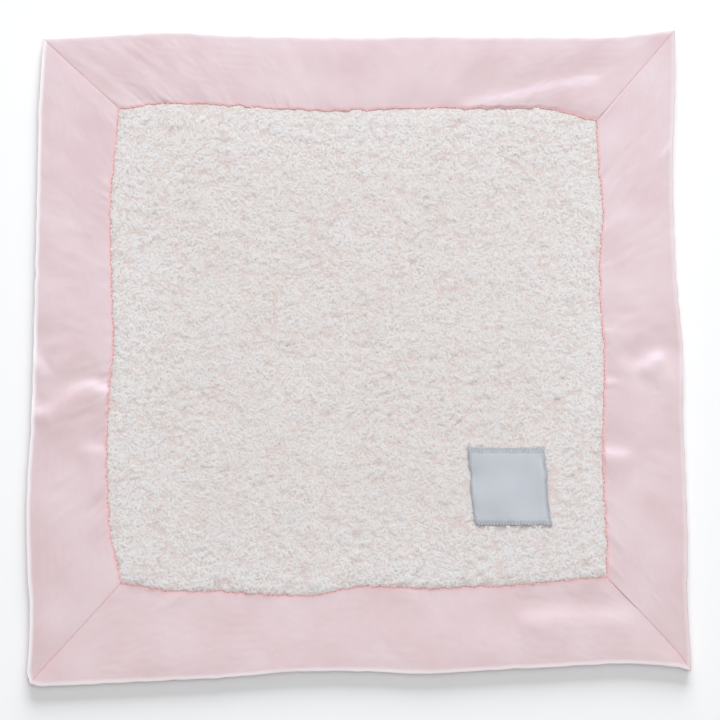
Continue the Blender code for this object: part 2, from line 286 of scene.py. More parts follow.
class LoveyPlush(PropertyGroup):
    """Sizes and colours of the curly plush."""

    ground_height: length("Ground height", 0.0080, "Height of the knitted ground below the curls")
    rim_height: length("Rim height", 0.0054, "Height of the ground at the seam")
    shoulder: length("Shoulder", 0.010, "How far in from the seam the ground reaches its full height")
    thickness: length("Ground thickness", 0.0012, "Thickness of the knitted ground")
    lump_rise: length("Lump rise", 0.0003, "How high the slow lumps of the pile stand")
    furrow_depth: length("Furrow depth", 0.0007, "How deep the furrows between the pile's clumps are")
    clump_width: length(
        "Clump width", 0.0105, "Length of the waves whose valleys part the clumps, along X"
    )
    clump_length: length("Clump length", 0.0072, "Length of the same waves along Y")
    spacing: length("Curl spacing", 0.00115, "Least distance between two curls", least=0.0005)
    curl_length: length("Curl length", 0.0034, "Length of a curl's lock, uncurled")
    curl_depth: length("Root depth", 0.0007, "How deep a curl's root lies in the ground")
    curl_thickness: length("Curl thickness", 0.0015, "Thickness of a lock at its middle")
    smallest: number("Smallest curl", 0.7, "Scale of the smallest curl", min=0.1)
    largest: number("Largest curl", 1.12, "Scale of the largest curl", min=0.1)
    seed: IntProperty(name="Seed", default=7, description="Seed of the curls' places and turns")
    softness: number("Softness", 0.86, "How evenly the fluff shades", min=0, max=0.95)
    colour: colour("Pile", (0.785, 0.755, 0.742), "Colour of the pile's tips")
    rim_colour: colour(
        "Pile at the rim", (0.792, 0.770, 0.766), "Colour of the cleaner pile near the seam"
    )
    # Partly the pile's real warmer roots, partly painted shade: this colour is laid on the locks' low
    # sides, in the furrows and between the ground's knots.
    roots_and_shade_colour: colour("Roots", (0.73, 0.60, 0.555), "Colour of the pile near its roots")


class LoveyLabel(PropertyGroup):
    """Sizes and colours of the woven label."""

    width: length("Width", 0.0418, "Width of the label")
    height: length("Height", 0.0427, "Height of the label")
    from_right: length("From right", 0.0326, "Distance from the plush's right bottom corner")
    from_bottom: length("From bottom", 0.0290, "Distance from the plush's right bottom corner")
    lift: length("Lift", 0.0088, "Height of the label's underside at its middle")
    thickness: length("Thickness", 0.0005, "Thickness of the woven cloth")
    stitch_depth: length("Stitch depth", 0.0031, "How far the zigzag bites into the label")
    stitch_pitch: length(
        "Stitch pitch", 0.00175, "Length of one zig and zag along the edge", least=0.0003
    )
    thread_thickness: length("Thread thickness", 0.00036, "Thickness of the zigzag thread")
    colour: colour("Label", (0.555, 0.58, 0.62), "Colour of the woven label")
    edge_colour: colour("Label's edge", (0.40, 0.415, 0.44), "Colour of the label along its cut edges")
    thread: colour("Zigzag thread", (0.58, 0.605, 0.65), "Colour of the zigzag thread")


class LoveyStage(PropertyGroup):
    """The camera, the lights and the floor."""

    view_width: length("View width", 0.396, "Width of what the camera sees at the hem")
    view_at: extent("View centre", (0.0008, -0.0006), "Where the camera stands")
    distance: length("Camera distance", 1.5, "Height of the camera over the hem")
    key: power("Window light", 172, "Power of the wide window light")
    key_place: place("Window place", (0.35, 3.6, 1.6), "Where the middle of the window light stands")
    key_size: extent("Window size", (2.8, 2.0))
    top: power("Top light", 18.6, "Power of the wide light overhead")
    top_place: place("Top light place", (0.10, 0.10, 1.9), "Where the wide light overhead stands")
    top_size: extent("Top light size", (1.6, 1.6))
    glint: power("Glint", 24, "Power of the light that only the satin's shine shows")
    glint_place: place("Glint place", (0.0, 1.1, 1.7), "Where the light for the satin's shine stands")
    glint_size: extent("Glint size", (2.4, 0.4))
    fill: number("Room light", 0.20, "Strength of the even light of the room")
    floor: colour("Floor", (0.965, 0.965, 0.965), "Colour of the pale floor")


SHEETS = ("lovey_satin", "lovey_plush", "lovey_label", "lovey_stage")


def between(before, here, after, beyond, part):
    """The point a part of the way from here to after, on a smooth curve through four knots."""
    bend = 2 * before - 5 * here + 4 * after - beyond
    twist = 3 * (here - after) + beyond - before
    return here + part / 2 * (after - before + part * (bend + part * twist))


def way_along(points):
    """How far along the line through points each of them lies."""
    return np.concatenate(((0,), np.cumsum(np.linalg.norm(np.diff(points, axis=0), axis=1))))


def along(shares, t):
    """Reads a smooth curve through evenly spaced shares, with nought at both of its ends."""
    knots = np.array((0, *shares, 0), float)
    at = np.clip(t, 0, 1) * (len(knots) - 1)
    step = np.minimum(at.astype(int), len(knots) - 2)
    part = at - step
    before, here = knots[np.maximum(step - 1, 0)], knots[step]
    after, beyond = knots[step + 1], knots[np.minimum(step + 2, len(knots) - 1)]
    return between(before, here, after, beyond, part)


EDGE_CORNERS = {name: np.array(shares) * SIDE for name, shares in CORNER_SHARES.items()}
SEAM_CORNERS = {
    name: at - np.sign(at) * np.array(INSET_SHARES[name]) * BORDER_WIDTH
    for name, at in EDGE_CORNERS.items()
}


def strayed(side, t, corners, wander, shares):
    """Points along one side, between two corners and strayed outwards by its wander."""
    start, end = (corners[name] for name in SIDES[side])
    run = end - start
    outwards = np.array((-run[1], run[0])) / np.hypot(*run)
    t = np.asarray(t, float)
    return start + run * t[..., None] + outwards * (wander * along(shares[side], t))[..., None]


def box_middle():
    """The middle of the box round the outer edge."""
    t = np.arange(32) / 32
    edge = np.vstack([strayed(side, t, EDGE_CORNERS, EDGE_WANDER, EDGE_SHARES) for side in SIDES])
    return (edge.min(0) + edge.max(0)) / 2


MIDDLE = box_middle()


def plan(side, t, inwards):
    """Points on the plan: the border's width reaches from the outer edge to the seam, more past it."""
    edge = strayed(side, t, EDGE_CORNERS, EDGE_WANDER, EDGE_SHARES)
    seam = strayed(side, t, SEAM_CORNERS, SEAM_WANDER, SEAM_SHARES)
    inwards = np.asarray(inwards, float)
    near_seam = smooth_step(BORDER_WIDTH - 0.008, BORDER_WIDTH, inwards)
    inwards = (inwards + scallops(side, t) * near_seam)[..., None]
    across = seam - edge
    past = np.maximum(inwards - BORDER_WIDTH, 0)
    unit = across / np.linalg.norm(across, axis=-1, keepdims=True)
    return lain(edge + across * np.minimum(inwards / BORDER_WIDTH, 1) + unit * past - MIDDLE)


def scallops(side, t):
    """How far the seam strays inwards in small waves along one side, with none at its corners."""
    t = np.asarray(t, float)
    ends = smooth_step(0, 0.03, t) * smooth_step(0, 0.03, 1 - t)
    return SCALLOP_RISE * ends * ripples(t * SIDE, 0, SCALLOP_PITCH, 1, list(SIDES).index(side) + 11)


def lain(points):
    """Pulls the outer corners of the plan to their places and bows its right bottom mitre."""
    moved = points.copy()
    for name, pull in CORNER_PULLS.items():
        off = points - EDGE_CORNERS[name] + MIDDLE
        moved += np.array(pull) * np.exp(-((off**2).sum(-1, keepdims=True) / PULL_REACH**2))
    start, end = EDGE_CORNERS["right_bottom"] - MIDDLE, SEAM_CORNERS["right_bottom"] - MIDDLE
    mitre = end - start
    run = np.linalg.norm(mitre)
    away = np.array((-mitre[1], mitre[0])) / run
    share = np.clip((points - start) @ mitre / run**2, 0, 1)
    off = (points - start) @ away
    bow = MITRE_BOW * np.sin(math.pi * share) * np.exp(-((off / BOW_REACH) ** 2))
    return moved - away * bow[..., None]


def smooth_step(low, high, values):
    """Rises smoothly from 0 at low to 1 at high."""
    share = np.clip((values - low) / (high - low), 0, 1)
    return share * share * (3 - 2 * share)


KNOT_STEPS = 24


def smooth_through(knots, count):
    """Points spaced evenly along a smooth curve through knots, in any number of dimensions."""
    knots = np.array(knots, float)
    padded = np.vstack((2 * knots[0] - knots[1], knots, 2 * knots[-1] - knots[-2]))
    part = np.linspace(0, 1, KNOT_STEPS, endpoint=False)[:, None]
    pieces = [between(*padded[step : step + 4], part) for step in range(len(knots) - 1)]
    fine = np.vstack((*pieces, knots[-1:]))
    run = way_along(fine[:, :2])
    even = np.linspace(0, run[-1], count)
    return np.stack([np.interp(even, run, column) for column in fine.T], axis=-1)


def ripples(u, v, wave_u, wave_v, seed, count=14):
    """Rolling noise of about unit height over two coordinates, with a wavelength for each."""
    draw = np.random.default_rng(seed)
    total = np.zeros(np.broadcast(u, v).shape)
    for _ in range(count):
        turn, phase = draw.uniform(0, 2 * math.pi, 2)
        pace = draw.uniform(0.6, 1.4)
        total += np.cos(
            2 * math.pi * pace * (np.cos(turn) * u / wave_u + np.sin(turn) * v / wave_v) + phase
        )
    return total / math.sqrt(count)


def from_line(points, line):
    """Signed distance of points from a line, positive on its right, and how much they lie beside it."""
    nearest = np.full(points.shape[:-1], np.inf)
    signed = np.zeros_like(nearest)
    beside = np.zeros_like(nearest)
    line = np.array(line)
    lengths = np.linalg.norm(np.diff(line, axis=0), axis=1)
    total, passed = lengths.sum(), 0
    for start, end, run in zip(line, line[1:], lengths):
        way = (end - start) / run
        reach = np.clip((points - start) @ way, 0, run)
        gap = points - start - way * reach[..., None]
        distance = np.linalg.norm(gap, axis=-1)
        side = np.sign(way[1] * gap[..., 0] - way[0] * gap[..., 1])
        closer = distance < nearest
        at = passed + reach
        nearest = np.where(closer, distance, nearest)
        signed = np.where(closer, distance * side, signed)
        fade = smooth_step(0, FOLD_FADE, at) * smooth_step(0, FOLD_FADE, total - at)
        beside = np.where(closer, fade, beside)
        passed += run
    return signed, beside


def grid_mesh(name, points, uv=None, closed=False):
    """A mesh of quads over a grid of points, with the cloth's own flat coordinates as its UV map."""
    rows, columns = points.shape[:2]
    index = np.arange(rows * columns).reshape(rows, columns)
    quads = np.stack((index[:-1, :-1], index[:-1, 1:], index[1:, 1:], index[1:, :-1]), axis=-1)
    quads = quads.reshape(-1, 4)
    mesh = bpy.data.meshes.new(name)
    mesh.vertices.add(rows * columns)
    mesh.vertices.foreach_set("co", points.astype(np.float32).ravel())
    mesh.loops.add(quads.size)
    mesh.loops.foreach_set("vertex_index", quads.astype(np.int32).ravel())
    mesh.polygons.add(len(quads))
    mesh.polygons.foreach_set("loop_start", np.arange(0, quads.size, 4, dtype=np.int32))
    mesh.update(calc_edges=True)
    if uv is not None:
        layer = mesh.uv_layers.new(name="cloth")
        layer.uv.foreach_set("vector", uv.reshape(-1, 2)[quads.ravel()].astype(np.float32).ravel())
    mesh.shade_smooth()
    return mesh


def read(values, field, width=1):
    """What a mesh stores for its vertices, one row for each."""
    found = np.empty(len(values) * width, np.float32)
    values.foreach_get(field, found)
    return found.reshape(-1, width)


def add_attribute(mesh, name, values):
    """Stores a value for each vertex, for a material to read."""
    attribute = mesh.attributes.new(name, "FLOAT", "POINT")
    attribute.data.foreach_set("value", np.asarray(values, np.float32).ravel())


def add_piece(name, mesh, finish):
    """Adds a mesh to the scene as a piece with its finish."""
    piece = bpy.data.objects.new(name, mesh)
    bpy.context.scene.collection.objects.link(piece)
    if finish is not None:
        mesh.materials.clear()
        mesh.materials.append(finish)
    return piece


def apply_modifiers(piece):
    """Makes what the modifiers give the piece's own mesh."""
    evaluated = piece.evaluated_get(bpy.context.evaluated_depsgraph_get())
    mesh = bpy.data.meshes.new_from_object(evaluated)
    piece.modifiers.clear()
    piece.data = mesh
    mesh.name = piece.name
    return piece


def thicken(piece, thickness):
    """Gives a sheet its thickness, inwards from its outer face."""
    modifier = piece.modifiers.new("thickness", "SOLIDIFY")
    modifier.thickness = thickness
    modifier.offset = -1
    return apply_modifiers(piece)


def refine(piece, levels):
    """Subdivides a piece, the same on screen as in a render."""
    modifier = piece.modifiers.new("refine", "SUBSURF")
    modifier.levels = modifier.render_levels = levels
    return apply_modifiers(piece)


def hand_over(piece, slot, *nodes):
    """Puts a finished piece on the blanket's one body, in the place of its solids, which it hides; the slot
    is not used.
    """
    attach(piece, "root")
    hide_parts(*nodes)
    return piece


def put(tree, kind, inputs=None, **settings):
    """Adds a node with its settings, and feeds its inputs from values or from other nodes' outputs."""
    made = tree.nodes.new(kind)
    for name, value in settings.items():
        setattr(made, name, value)
    for name, value in (inputs or {}).items():
        found = [socket for socket in made.inputs if socket.name == name and socket.enabled]
        socket = found[0] if isinstance(name, str) else made.inputs[name]
        if isinstance(value, bpy.types.NodeSocket):
            tree.links.new(value, socket)
        else:
            socket.default_value = value
    return made


def live(node, name):
    """The output of that name that the node's settings leave in use."""
    return next(socket for socket in node.outputs if socket.name == name and socket.enabled)


def new_group(name, kind, inputs, outputs):
    """A node group with named sockets, and its input and output nodes."""
    tree = bpy.data.node_groups.new(name, kind)
    for way, sockets in (("INPUT", inputs), ("OUTPUT", outputs)):
        for socket_name, socket_type, *default in sockets:
            socket = tree.interface.new_socket(
                name=socket_name, in_out=way, socket_type=f"NodeSocket{socket_type}"
            )
            if default:
                socket.default_value = default[0]
    return tree, tree.nodes.new("NodeGroupInput"), tree.nodes.new("NodeGroupOutput")


def maths(tree, operation, first, second):
    """What an operation makes of two numbers, given as sockets or values."""
    return put(tree, "ShaderNodeMath", {0: first, 1: second}, operation=operation).outputs[0]


def attribute(tree, name):
    """What the mesh stores under a name, for a material."""
    return put(tree, "ShaderNodeAttribute", attribute_name=name).outputs["Fac"]


def stored(tree, name):
    """What the mesh stores under a name, for a geometry tree."""
    return live(
        put(tree, "GeometryNodeInputNamedAttribute", {"Name": name}, data_type="FLOAT"), "Attribute"
    )


def chance(tree, low, high, seed, kind="FLOAT"):
    """A random number for each point."""
    made = put(tree, "FunctionNodeRandomValue", {"Min": low, "Max": high, "Seed": seed}, data_type=kind)
    return live(made, "Value")


def mottle_group():
    """A colour that drifts between two tints in slow patches and fine specks."""
    inputs = (
        ("Vector", "Vector"),
        ("Light", "Color"),
        ("Dark", "Color"),
        ("Patch Scale", "Float", 40.0),
        ("Speck Scale", "Float", 900.0),
        ("Speck Share", "Float", 0.4),
    )
    tree, given, result = new_group(
        "cloth mottle", "ShaderNodeTree", inputs, (("Color", "Color"), ("Mask", "Float"))
    )
    vector = given.outputs["Vector"]
    patch = put(
        tree,
        "ShaderNodeTexNoise",
        {"Vector": vector, "Scale": given.outputs["Patch Scale"], "Detail": 3.0},
    )
    speck = put(
        tree,
        "ShaderNodeTexNoise",
        {"Vector": vector, "Scale": given.outputs["Speck Scale"], "Detail": 2.0},
    )
    share = given.outputs["Speck Share"]
    mask = put(tree, "ShaderNodeMix", {"Factor": share, "A": patch.outputs[0], "B": speck.outputs[0]})
    spread = put(
        tree, "ShaderNodeMapRange", {"Value": mask.outputs["Result"], "From Min": 0.35, "From Max": 0.65}
    )
    mixed = blended(tree, spread.outputs["Result"], given.outputs["Light"], given.outputs["Dark"])
    tree.links.new(mixed, result.inputs["Color"])
    tree.links.new(spread.outputs["Result"], result.inputs["Mask"])
    return tree


def weave_group():
    """The height of crossing threads, from flat cloth coordinates in metres."""
    inputs = (
        ("Vector", "Vector"),
        ("Warp Scale", "Float", 2500.0),
        ("Weft Scale", "Float", 2500.0),
        ("Slub", "Float", 0.3),
    )
    tree, given, result = new_group("thread weave", "ShaderNodeTree", inputs, (("Height", "Float"),))
    apart = put(tree, "ShaderNodeSeparateXYZ", {"Vector": given.outputs["Vector"]})
    waves = []
    for axis, scale in (("X", "Warp Scale"), ("Y", "Weft Scale")):
        paced = maths(tree, "MULTIPLY", apart.outputs[axis], given.outputs[scale])
        waves.append(put(tree, "ShaderNodeMath", {0: paced}, operation="SINE").outputs[0])
    crossed = maths(tree, "MULTIPLY", *waves)
    slub = put(
        tree, "ShaderNodeTexNoise", {"Vector": given.outputs["Vector"], "Scale": 1500.0, "Detail": 2.0}
    )
    height = put(
        tree, "ShaderNodeMix", {"Factor": given.outputs["Slub"], "A": crossed, "B": slub.outputs[0]}
    )
    tree.links.new(height.outputs["Result"], result.inputs["Height"])
    return tree


def group_once(name, maker):
    """A shader group, built the first time that a material asks for it."""
    return bpy.data.node_groups.get(name) or maker()


def new_finish(name, **constants):
    """A material with one Principled shader, whose constants stand on its own sockets."""
    finish = bpy.data.materials.new(name)
    finish.use_nodes = True
    shader = finish.node_tree.nodes["Principled BSDF"]
    for socket, value in constants.items():
        shader.inputs[socket.replace("_", " ")].default_value = value
    return finish, finish.node_tree, shader


def mottled(tree, vector, light, dark, **inputs):
    """Places the cloth mottle in a material."""
    made = put(tree, "ShaderNodeGroup", node_tree=group_once("cloth mottle", mottle_group))
    tree.links.new(vector, made.inputs["Vector"])
    made.inputs["Light"].default_value = (*light, 1)
    made.inputs["Dark"].default_value = (*dark, 1)
    for name, value in inputs.items():
        made.inputs[name.replace("_", " ")].default_value = value
    return made


def woven(tree, vector, **inputs):
    """Places the thread weave in a material."""
    made = put(tree, "ShaderNodeGroup", node_tree=group_once("thread weave", weave_group))
    tree.links.new(vector, made.inputs["Vector"])
    for name, value in inputs.items():
        made.inputs[name.replace("_", " ")].default_value = value
    return made


def blended(tree, mask, first, second):
    """Mixes two colours, given as sockets or values, by a mask."""
    made = put(tree, "ShaderNodeMix", data_type="RGBA")
    tree.links.new(mask, made.inputs["Factor"])
    for index, value in ((6, first), (7, second)):
        if isinstance(value, bpy.types.NodeSocket):
            tree.links.new(value, made.inputs[index])
        else:
            made.inputs[index].default_value = (*value, 1)
    return made.outputs[2]


def bumped(tree, shader, height, distance, strength=1.0):
    """Feeds a height to the shader's normal."""
    bump = put(tree, "ShaderNodeBump", {"Height": height, "Distance": distance, "Strength": strength})
    tree.links.new(bump.outputs["Normal"], shader.inputs["Normal"])


def tinted(colour, factor):
    """A colour made lighter or darker by a factor."""
    return tuple(min(part * factor, 1) for part in colour)


def satin_finish(satin):
    """Pink satin: a smooth face with a fine weave, with painted shade deepening the pink in its seam and
    mitre creases and a painted highlight paling its rolled rim.
    """
    finish, tree, shader = new_finish(
        "woven satin",
        Roughness=0.33,
        Specular_IOR_Level=0.6,
        Specular_Tint=(0.8, 0.9, 1.0, 1.0),
        Anisotropic=0.3,
        Sheen_Weight=0.15,
        Sheen_Roughness=0.4,
    )
    place = put(tree, "ShaderNodeTexCoord").outputs["Object"]
    cloth = put(tree, "ShaderNodeUVMap", uv_map="cloth").outputs["UV"]
    mottle = mottled(tree, place, satin.colour, satin.warm_colour, Patch_Scale=30.0, Speck_Share=0.06)
    # Painted shade: the crease mask deepens the pink along the seam and down the mitres.
    deep = blended(tree, attribute(tree, "crease"), mottle.outputs["Color"], satin.crease_shade_colour)
    # Painted highlight: the rim mask pales the rolled edge towards near white.
    base = blended(tree, attribute(tree, "rim"), deep, satin.rim_colour)
    tree.links.new(base, shader.inputs["Base Color"])
    weave = woven(tree, cloth, Warp_Scale=16000.0, Weft_Scale=5200.0, Slub=0.5)
    bumped(tree, shader, weave.outputs["Height"], 0.00002, 0.5)
    tangent = put(tree, "ShaderNodeTangent", direction_type="UV_MAP", uv_map="cloth")
    tree.links.new(tangent.outputs["Tangent"], shader.inputs["Tangent"])
    return finish


def thread_finish(name, colour):
    """Twisted sewing thread with a soft shine."""
    finish, tree, shader = new_finish(name, Roughness=0.5, Sheen_Weight=0.2)
    place = put(tree, "ShaderNodeTexCoord").outputs["Object"]
    mottle = mottled(
        tree, place, colour, tinted(colour, 0.88), Patch_Scale=400.0, Speck_Scale=4000.0, Speck_Share=0.5
    )
    tree.links.new(mottle.outputs["Color"], shader.inputs["Base Color"])
    bumped(tree, shader, mottle.outputs["Mask"], 0.00004)
    return finish


def wadding_finish():
    """White fibre wadding."""
    white, grey = (0.86, 0.85, 0.83), (0.74, 0.73, 0.71)
    finish, tree, shader = new_finish("fibre wadding", Roughness=0.95, Sheen_Weight=0.3)
    place = put(tree, "ShaderNodeTexCoord").outputs["Object"]
    mottle = mottled(tree, place, white, grey, Patch_Scale=120.0, Speck_Scale=1500.0, Speck_Share=0.6)
    tree.links.new(mottle.outputs["Color"], shader.inputs["Base Color"])
    bumped(tree, shader, mottle.outputs["Mask"], 0.0004)
    return finish


def let_light_through(tree, shader):
    """Loose fibres cast only a weak shadow, and hide little of the light from all around."""
    rays = put(tree, "ShaderNodeLightPath").outputs
    soft = maths(tree, "MAXIMUM", rays["Is Shadow Ray"], rays["Is Diffuse Ray"])
    eased = put(tree, "ShaderNodeMapRange", {"Value": soft, "To Min": 1.0, "To Max": 0.12})
    tree.links.new(eased.outputs["Result"], shader.inputs["Alpha"])


def pile_finish(plush):
    """Ivory pile: warm at its roots, pale at its tips; the root colour also serves as painted shade on each
    lock's low side and in the furrows.
    """
    finish, tree, shader = new_finish(
        "curly pile",
        Roughness=0.9,
        Specular_IOR_Level=0.2,
        Sheen_Weight=0.3,
        Sheen_Roughness=0.6,
    )
    place = put(tree, "ShaderNodeTexCoord").outputs["Object"]
    mottle = mottled(
        tree,
        place,
        plush.colour,
        tinted(plush.colour, 0.96),
        Patch_Scale=34.0,
        Speck_Scale=2600.0,
        Speck_Share=0.45,
    )
    # Painted shade, partly real roots: the root colour on each lock's low part and in the furrows.
    strand = attribute(tree, "strand")
    depth = put(tree, "ShaderNodeMapRange", {"Value": strand, "To Min": 1.0, "To Max": 0.0})
    sunk = maths(tree, "MAXIMUM", attribute(tree, "tone"), depth.outputs["Result"])
    pale = blended(tree, attribute(tree, "rim"), mottle.outputs["Color"], plush.rim_colour)
    base = blended(tree, sunk, pale, plush.roots_and_shade_colour)
    tree.links.new(base, shader.inputs["Base Color"])
    bumped(tree, shader, mottle.outputs["Mask"], 0.00003)
    let_light_through(tree, shader)
    return finish


def ground_finish(plush):
    """The short under-pile between the locks, knotted like them, over the knitted ground."""
    finish, tree, shader = new_finish("knitted ground", Roughness=0.95, Specular_IOR_Level=0.2)
    place = put(tree, "ShaderNodeTexCoord").outputs["Object"]
    mottle = mottled(
        tree, place, tinted(plush.colour, 0.98), plush.roots_and_shade_colour, Patch_Scale=60.0, Speck_Scale=1400.0
    )
    pattern = {"Vector": place, "Scale": 620.0, "Smoothness": 0.6}
    knots = put(tree, "ShaderNodeTexVoronoi", pattern, feature="SMOOTH_F1").outputs["Distance"]
    risen = maths(tree, "SUBTRACT", 1.0, knots)
    # Painted shade, partly real roots: the root colour deepens in the gaps between the knots and in the
    # furrows.
    gap = put(tree, "ShaderNodeMapRange", {"Value": knots, "From Min": 0.45, "From Max": 0.8})
    sunk = maths(tree, "MAXIMUM", attribute(tree, "tone"), gap.outputs["Result"])
    base = blended(tree, sunk, mottle.outputs["Color"], plush.roots_and_shade_colour)
    tree.links.new(base, shader.inputs["Base Color"])
    bumped(tree, shader, risen, 0.00015)
    let_light_through(tree, shader)
    return finish


def label_finish(label):
    """Woven grey cloth with fine ribs along its width."""
    finish, tree, shader = new_finish("woven label", Roughness=0.62, Sheen_Weight=0.25, Anisotropic=0.3)
    cloth = put(tree, "ShaderNodeUVMap", uv_map="cloth").outputs["UV"]
    mottle = mottled(
        tree,
        cloth,
        tinted(label.colour, 1.02),
        tinted(label.colour, 0.96),
        Patch_Scale=90.0,
        Speck_Scale=2400.0,
    )
    base = blended(tree, attribute(tree, "edge"), mottle.outputs["Color"], label.edge_colour)
    tree.links.new(base, shader.inputs["Base Color"])
    weave = woven(tree, cloth, Warp_Scale=12500.0, Weft_Scale=9000.0, Slub=0.25)
    bumped(tree, shader, weave.outputs["Height"], 0.00006)
    return finish


def floor_finish(stage):
    """The pale floor."""
    finish, tree, shader = new_finish("pale floor", Roughness=0.9, Specular_IOR_Level=0.1)
    place = put(tree, "ShaderNodeTexCoord").outputs["Object"]
    mottle = mottled(
        tree, place, stage.floor, tinted(stage.floor, 0.995), Patch_Scale=3.0, Speck_Scale=300.0
    )
    tree.links.new(mottle.outputs["Color"], shader.inputs["Base Color"])
    return finish


def finish_once(name, maker, *given):
    """A material, built the first time that a piece asks for it."""
    return bpy.data.materials.get(name) or maker(*given)


# A border strip's grid, and how its cut ends are turned in at the mitres
SECTION_STEPS = 600
STRIP_ROWS = 200
STRIP_COLUMNS = 40
MITRE_HALF_GAP = 0.00002
MITRE_FOLD = 0.0001
MITRE_ROLL = 0.0007
MITRE_DEPTH = 0.00008
MITRE_TURNED_IN = 0.0004


def strip_section(satin):
    """Across the border, from hem allowance to tuck: distance in, height, share of folds, share free."""
    hem, crest, seam = satin.hem_height, satin.crest_height, satin.seam_height
    shoulder, inner = satin.shoulder_height, satin.inner_height
    face = hem + satin.thickness
    knots = (
        (satin.hem_allowance, face + 0.0001, 0, 0),
        (0.0013, face, 0, 0),
        (0.0003, face, 0, 0),
        (0.0, face + 0.0005, 0, 0),
        (0.0001, (face + shoulder) / 2 + 0.0002, 0, 0.1),
        (0.0004, shoulder - 0.0001, 0, 0.3),
        (0.0014, shoulder, 0.05, 0.8),
        (0.0040, shoulder + 0.15 * (crest - shoulder), 0.2, 1),
        (0.0080, shoulder + 0.45 * (crest - shoulder), 0.5, 1),
        (0.0150, shoulder + 0.92 * (crest - shoulder), 0.9, 1),
        (0.0235, crest, 1, 1),
        (0.0320, inner + 0.85 * (crest - inner), 0.8, 1),
        (0.0385, inner + 0.35 * (crest - inner), 0.4, 1),
        (0.0418, inner - 0.0001, 0.1, 0.8),
        (0.0432, (inner + seam) / 2 + 0.0001, 0, 0.3),
        (BORDER_WIDTH, seam, 0, 0),
        (BORDER_WIDTH + 0.0006, seam - 0.0009, 0, 0),
        (BORDER_WIDTH + 0.0024, satin.tuck_height, 0, 0),
        (BORDER_WIDTH + satin.tuck_length, satin.tuck_height, 0, 0),
    )
    fine = smooth_through(knots, SECTION_STEPS)
    run = way_along(fine[:, :2])
    inner_half = slice(SECTION_STEPS // 2, None)
    bends = (run[np.argmin(fine[:, 0])], np.interp(BORDER_WIDTH, fine[inner_half, 0], run[inner_half]))
    closeness = 1 + sum(2.5 * np.exp(-(((run - bend) / 0.003) ** 2)) for bend in bends)
    paced = np.concatenate(((0,), np.cumsum((closeness[1:] + closeness[:-1]) / 2 * np.diff(run))))
    stations = np.interp(np.linspace(0, paced[-1], STRIP_COLUMNS), paced, run)
    return np.stack([np.interp(stations, run, column) for column in fine.T], axis=-1)


def face_section(satin):
    """The same section from its rolled edge inwards, without the hem allowance."""
    return strip_section(satin)[STRIP_COLUMNS // 8 :]


def strip_points(side, satin):
    """One border strip as a grid of points, with its flat coordinates and its free share."""
    section = strip_section(satin)
    inwards, height, fold, free = section.T
    corners = [EDGE_CORNERS[name] for name in SIDES[side]]
    run = np.linalg.norm(corners[1] - corners[0])
    gap = MITRE_HALF_GAP * math.sqrt(2) / run
    even = np.linspace(gap, 1 - gap, STRIP_ROWS - 4)
    beside = MITRE_FOLD / run
    first, last = even[:1], even[-1:]
    t = np.concatenate((first, first, first + beside, even[1:-1], last - beside, last, last))[:, None]
    inwards = np.broadcast_to(inwards, (STRIP_ROWS, STRIP_COLUMNS))
    distance = t * run
    seed = list(SIDES).index(side)
    at_edge = 1 - smooth_step(0, 0.01, inwards)
    edge_wobble = 0.00018 * ripples(distance, 0, 0.012, 1, seed + 31) * at_edge
    flat = plan(side, np.broadcast_to(t, inwards.shape), inwards + edge_wobble)
    rise = fold * satin.fold_rise * along(FOLD_SHARES[side], t)
    rise = rise + satin.wave_rise * free * ripples(distance, inwards, 0.034, 0.05, seed + 3)
    rise = rise + 0.3 * satin.wave_rise * free * ripples(distance, inwards, 0.012, 0.03, seed + 7)
    puckers = ripples(distance, inwards, satin.pucker_pitch, 0.05, seed + 19)
    some = smooth_step(0.1, 1.2, ripples(distance, 0, 0.045, 1, seed + 29))
    decay = np.exp(-np.abs(BORDER_WIDTH - inwards) / 0.006) * smooth_step(0.0, 0.8, free + 0.15)
    rise = rise + satin.pucker_rise * puckers * decay * some
    rise = rise * smooth_step(0, 0.012, np.minimum(distance, run - distance))
    rise = rise + OUTER_LIFTS.get(side, 0) * np.exp(-((inwards / 0.008) ** 2)) * np.minimum(free * 3, 1)
    mitre = np.minimum(distance, run - distance) * math.sqrt(0.5)
    dip = MITRE_DEPTH * np.exp(-((mitre / MITRE_ROLL) ** 2)) * smooth_step(0, 0.003, inwards)
    across = way_along(section[:, :2])
    points = np.dstack((flat, height + rise - dip * (inwards < BORDER_WIDTH)))
    points[0, :, 2] -= MITRE_TURNED_IN
    points[-1, :, 2] -= MITRE_TURNED_IN
    uv = np.dstack((np.broadcast_to(distance, inwards.shape), np.broadcast_to(across, inwards.shape)))
    return points, uv, np.broadcast_to(free, inwards.shape), inwards, (run, across[-1])


# The cloth that settles a strip, and where it is held or has cloth to spare
SETTLE_SCALE = 10
SETTLE_FRAMES = 24
SETTLE_CLOTH = {
    "quality": 4,
    "mass": 0.15,
    "tension_stiffness": 12,
    "compression_stiffness": 12,
    "shear_stiffness": 3,
    "bending_stiffness": 0.3,
    "pin_stiffness": 1,
}
MITRE_ROWS = 3
FREE_SHARE = 0.96
SPARE_LEAST = 0.2
SPARE_REACH = 0.008


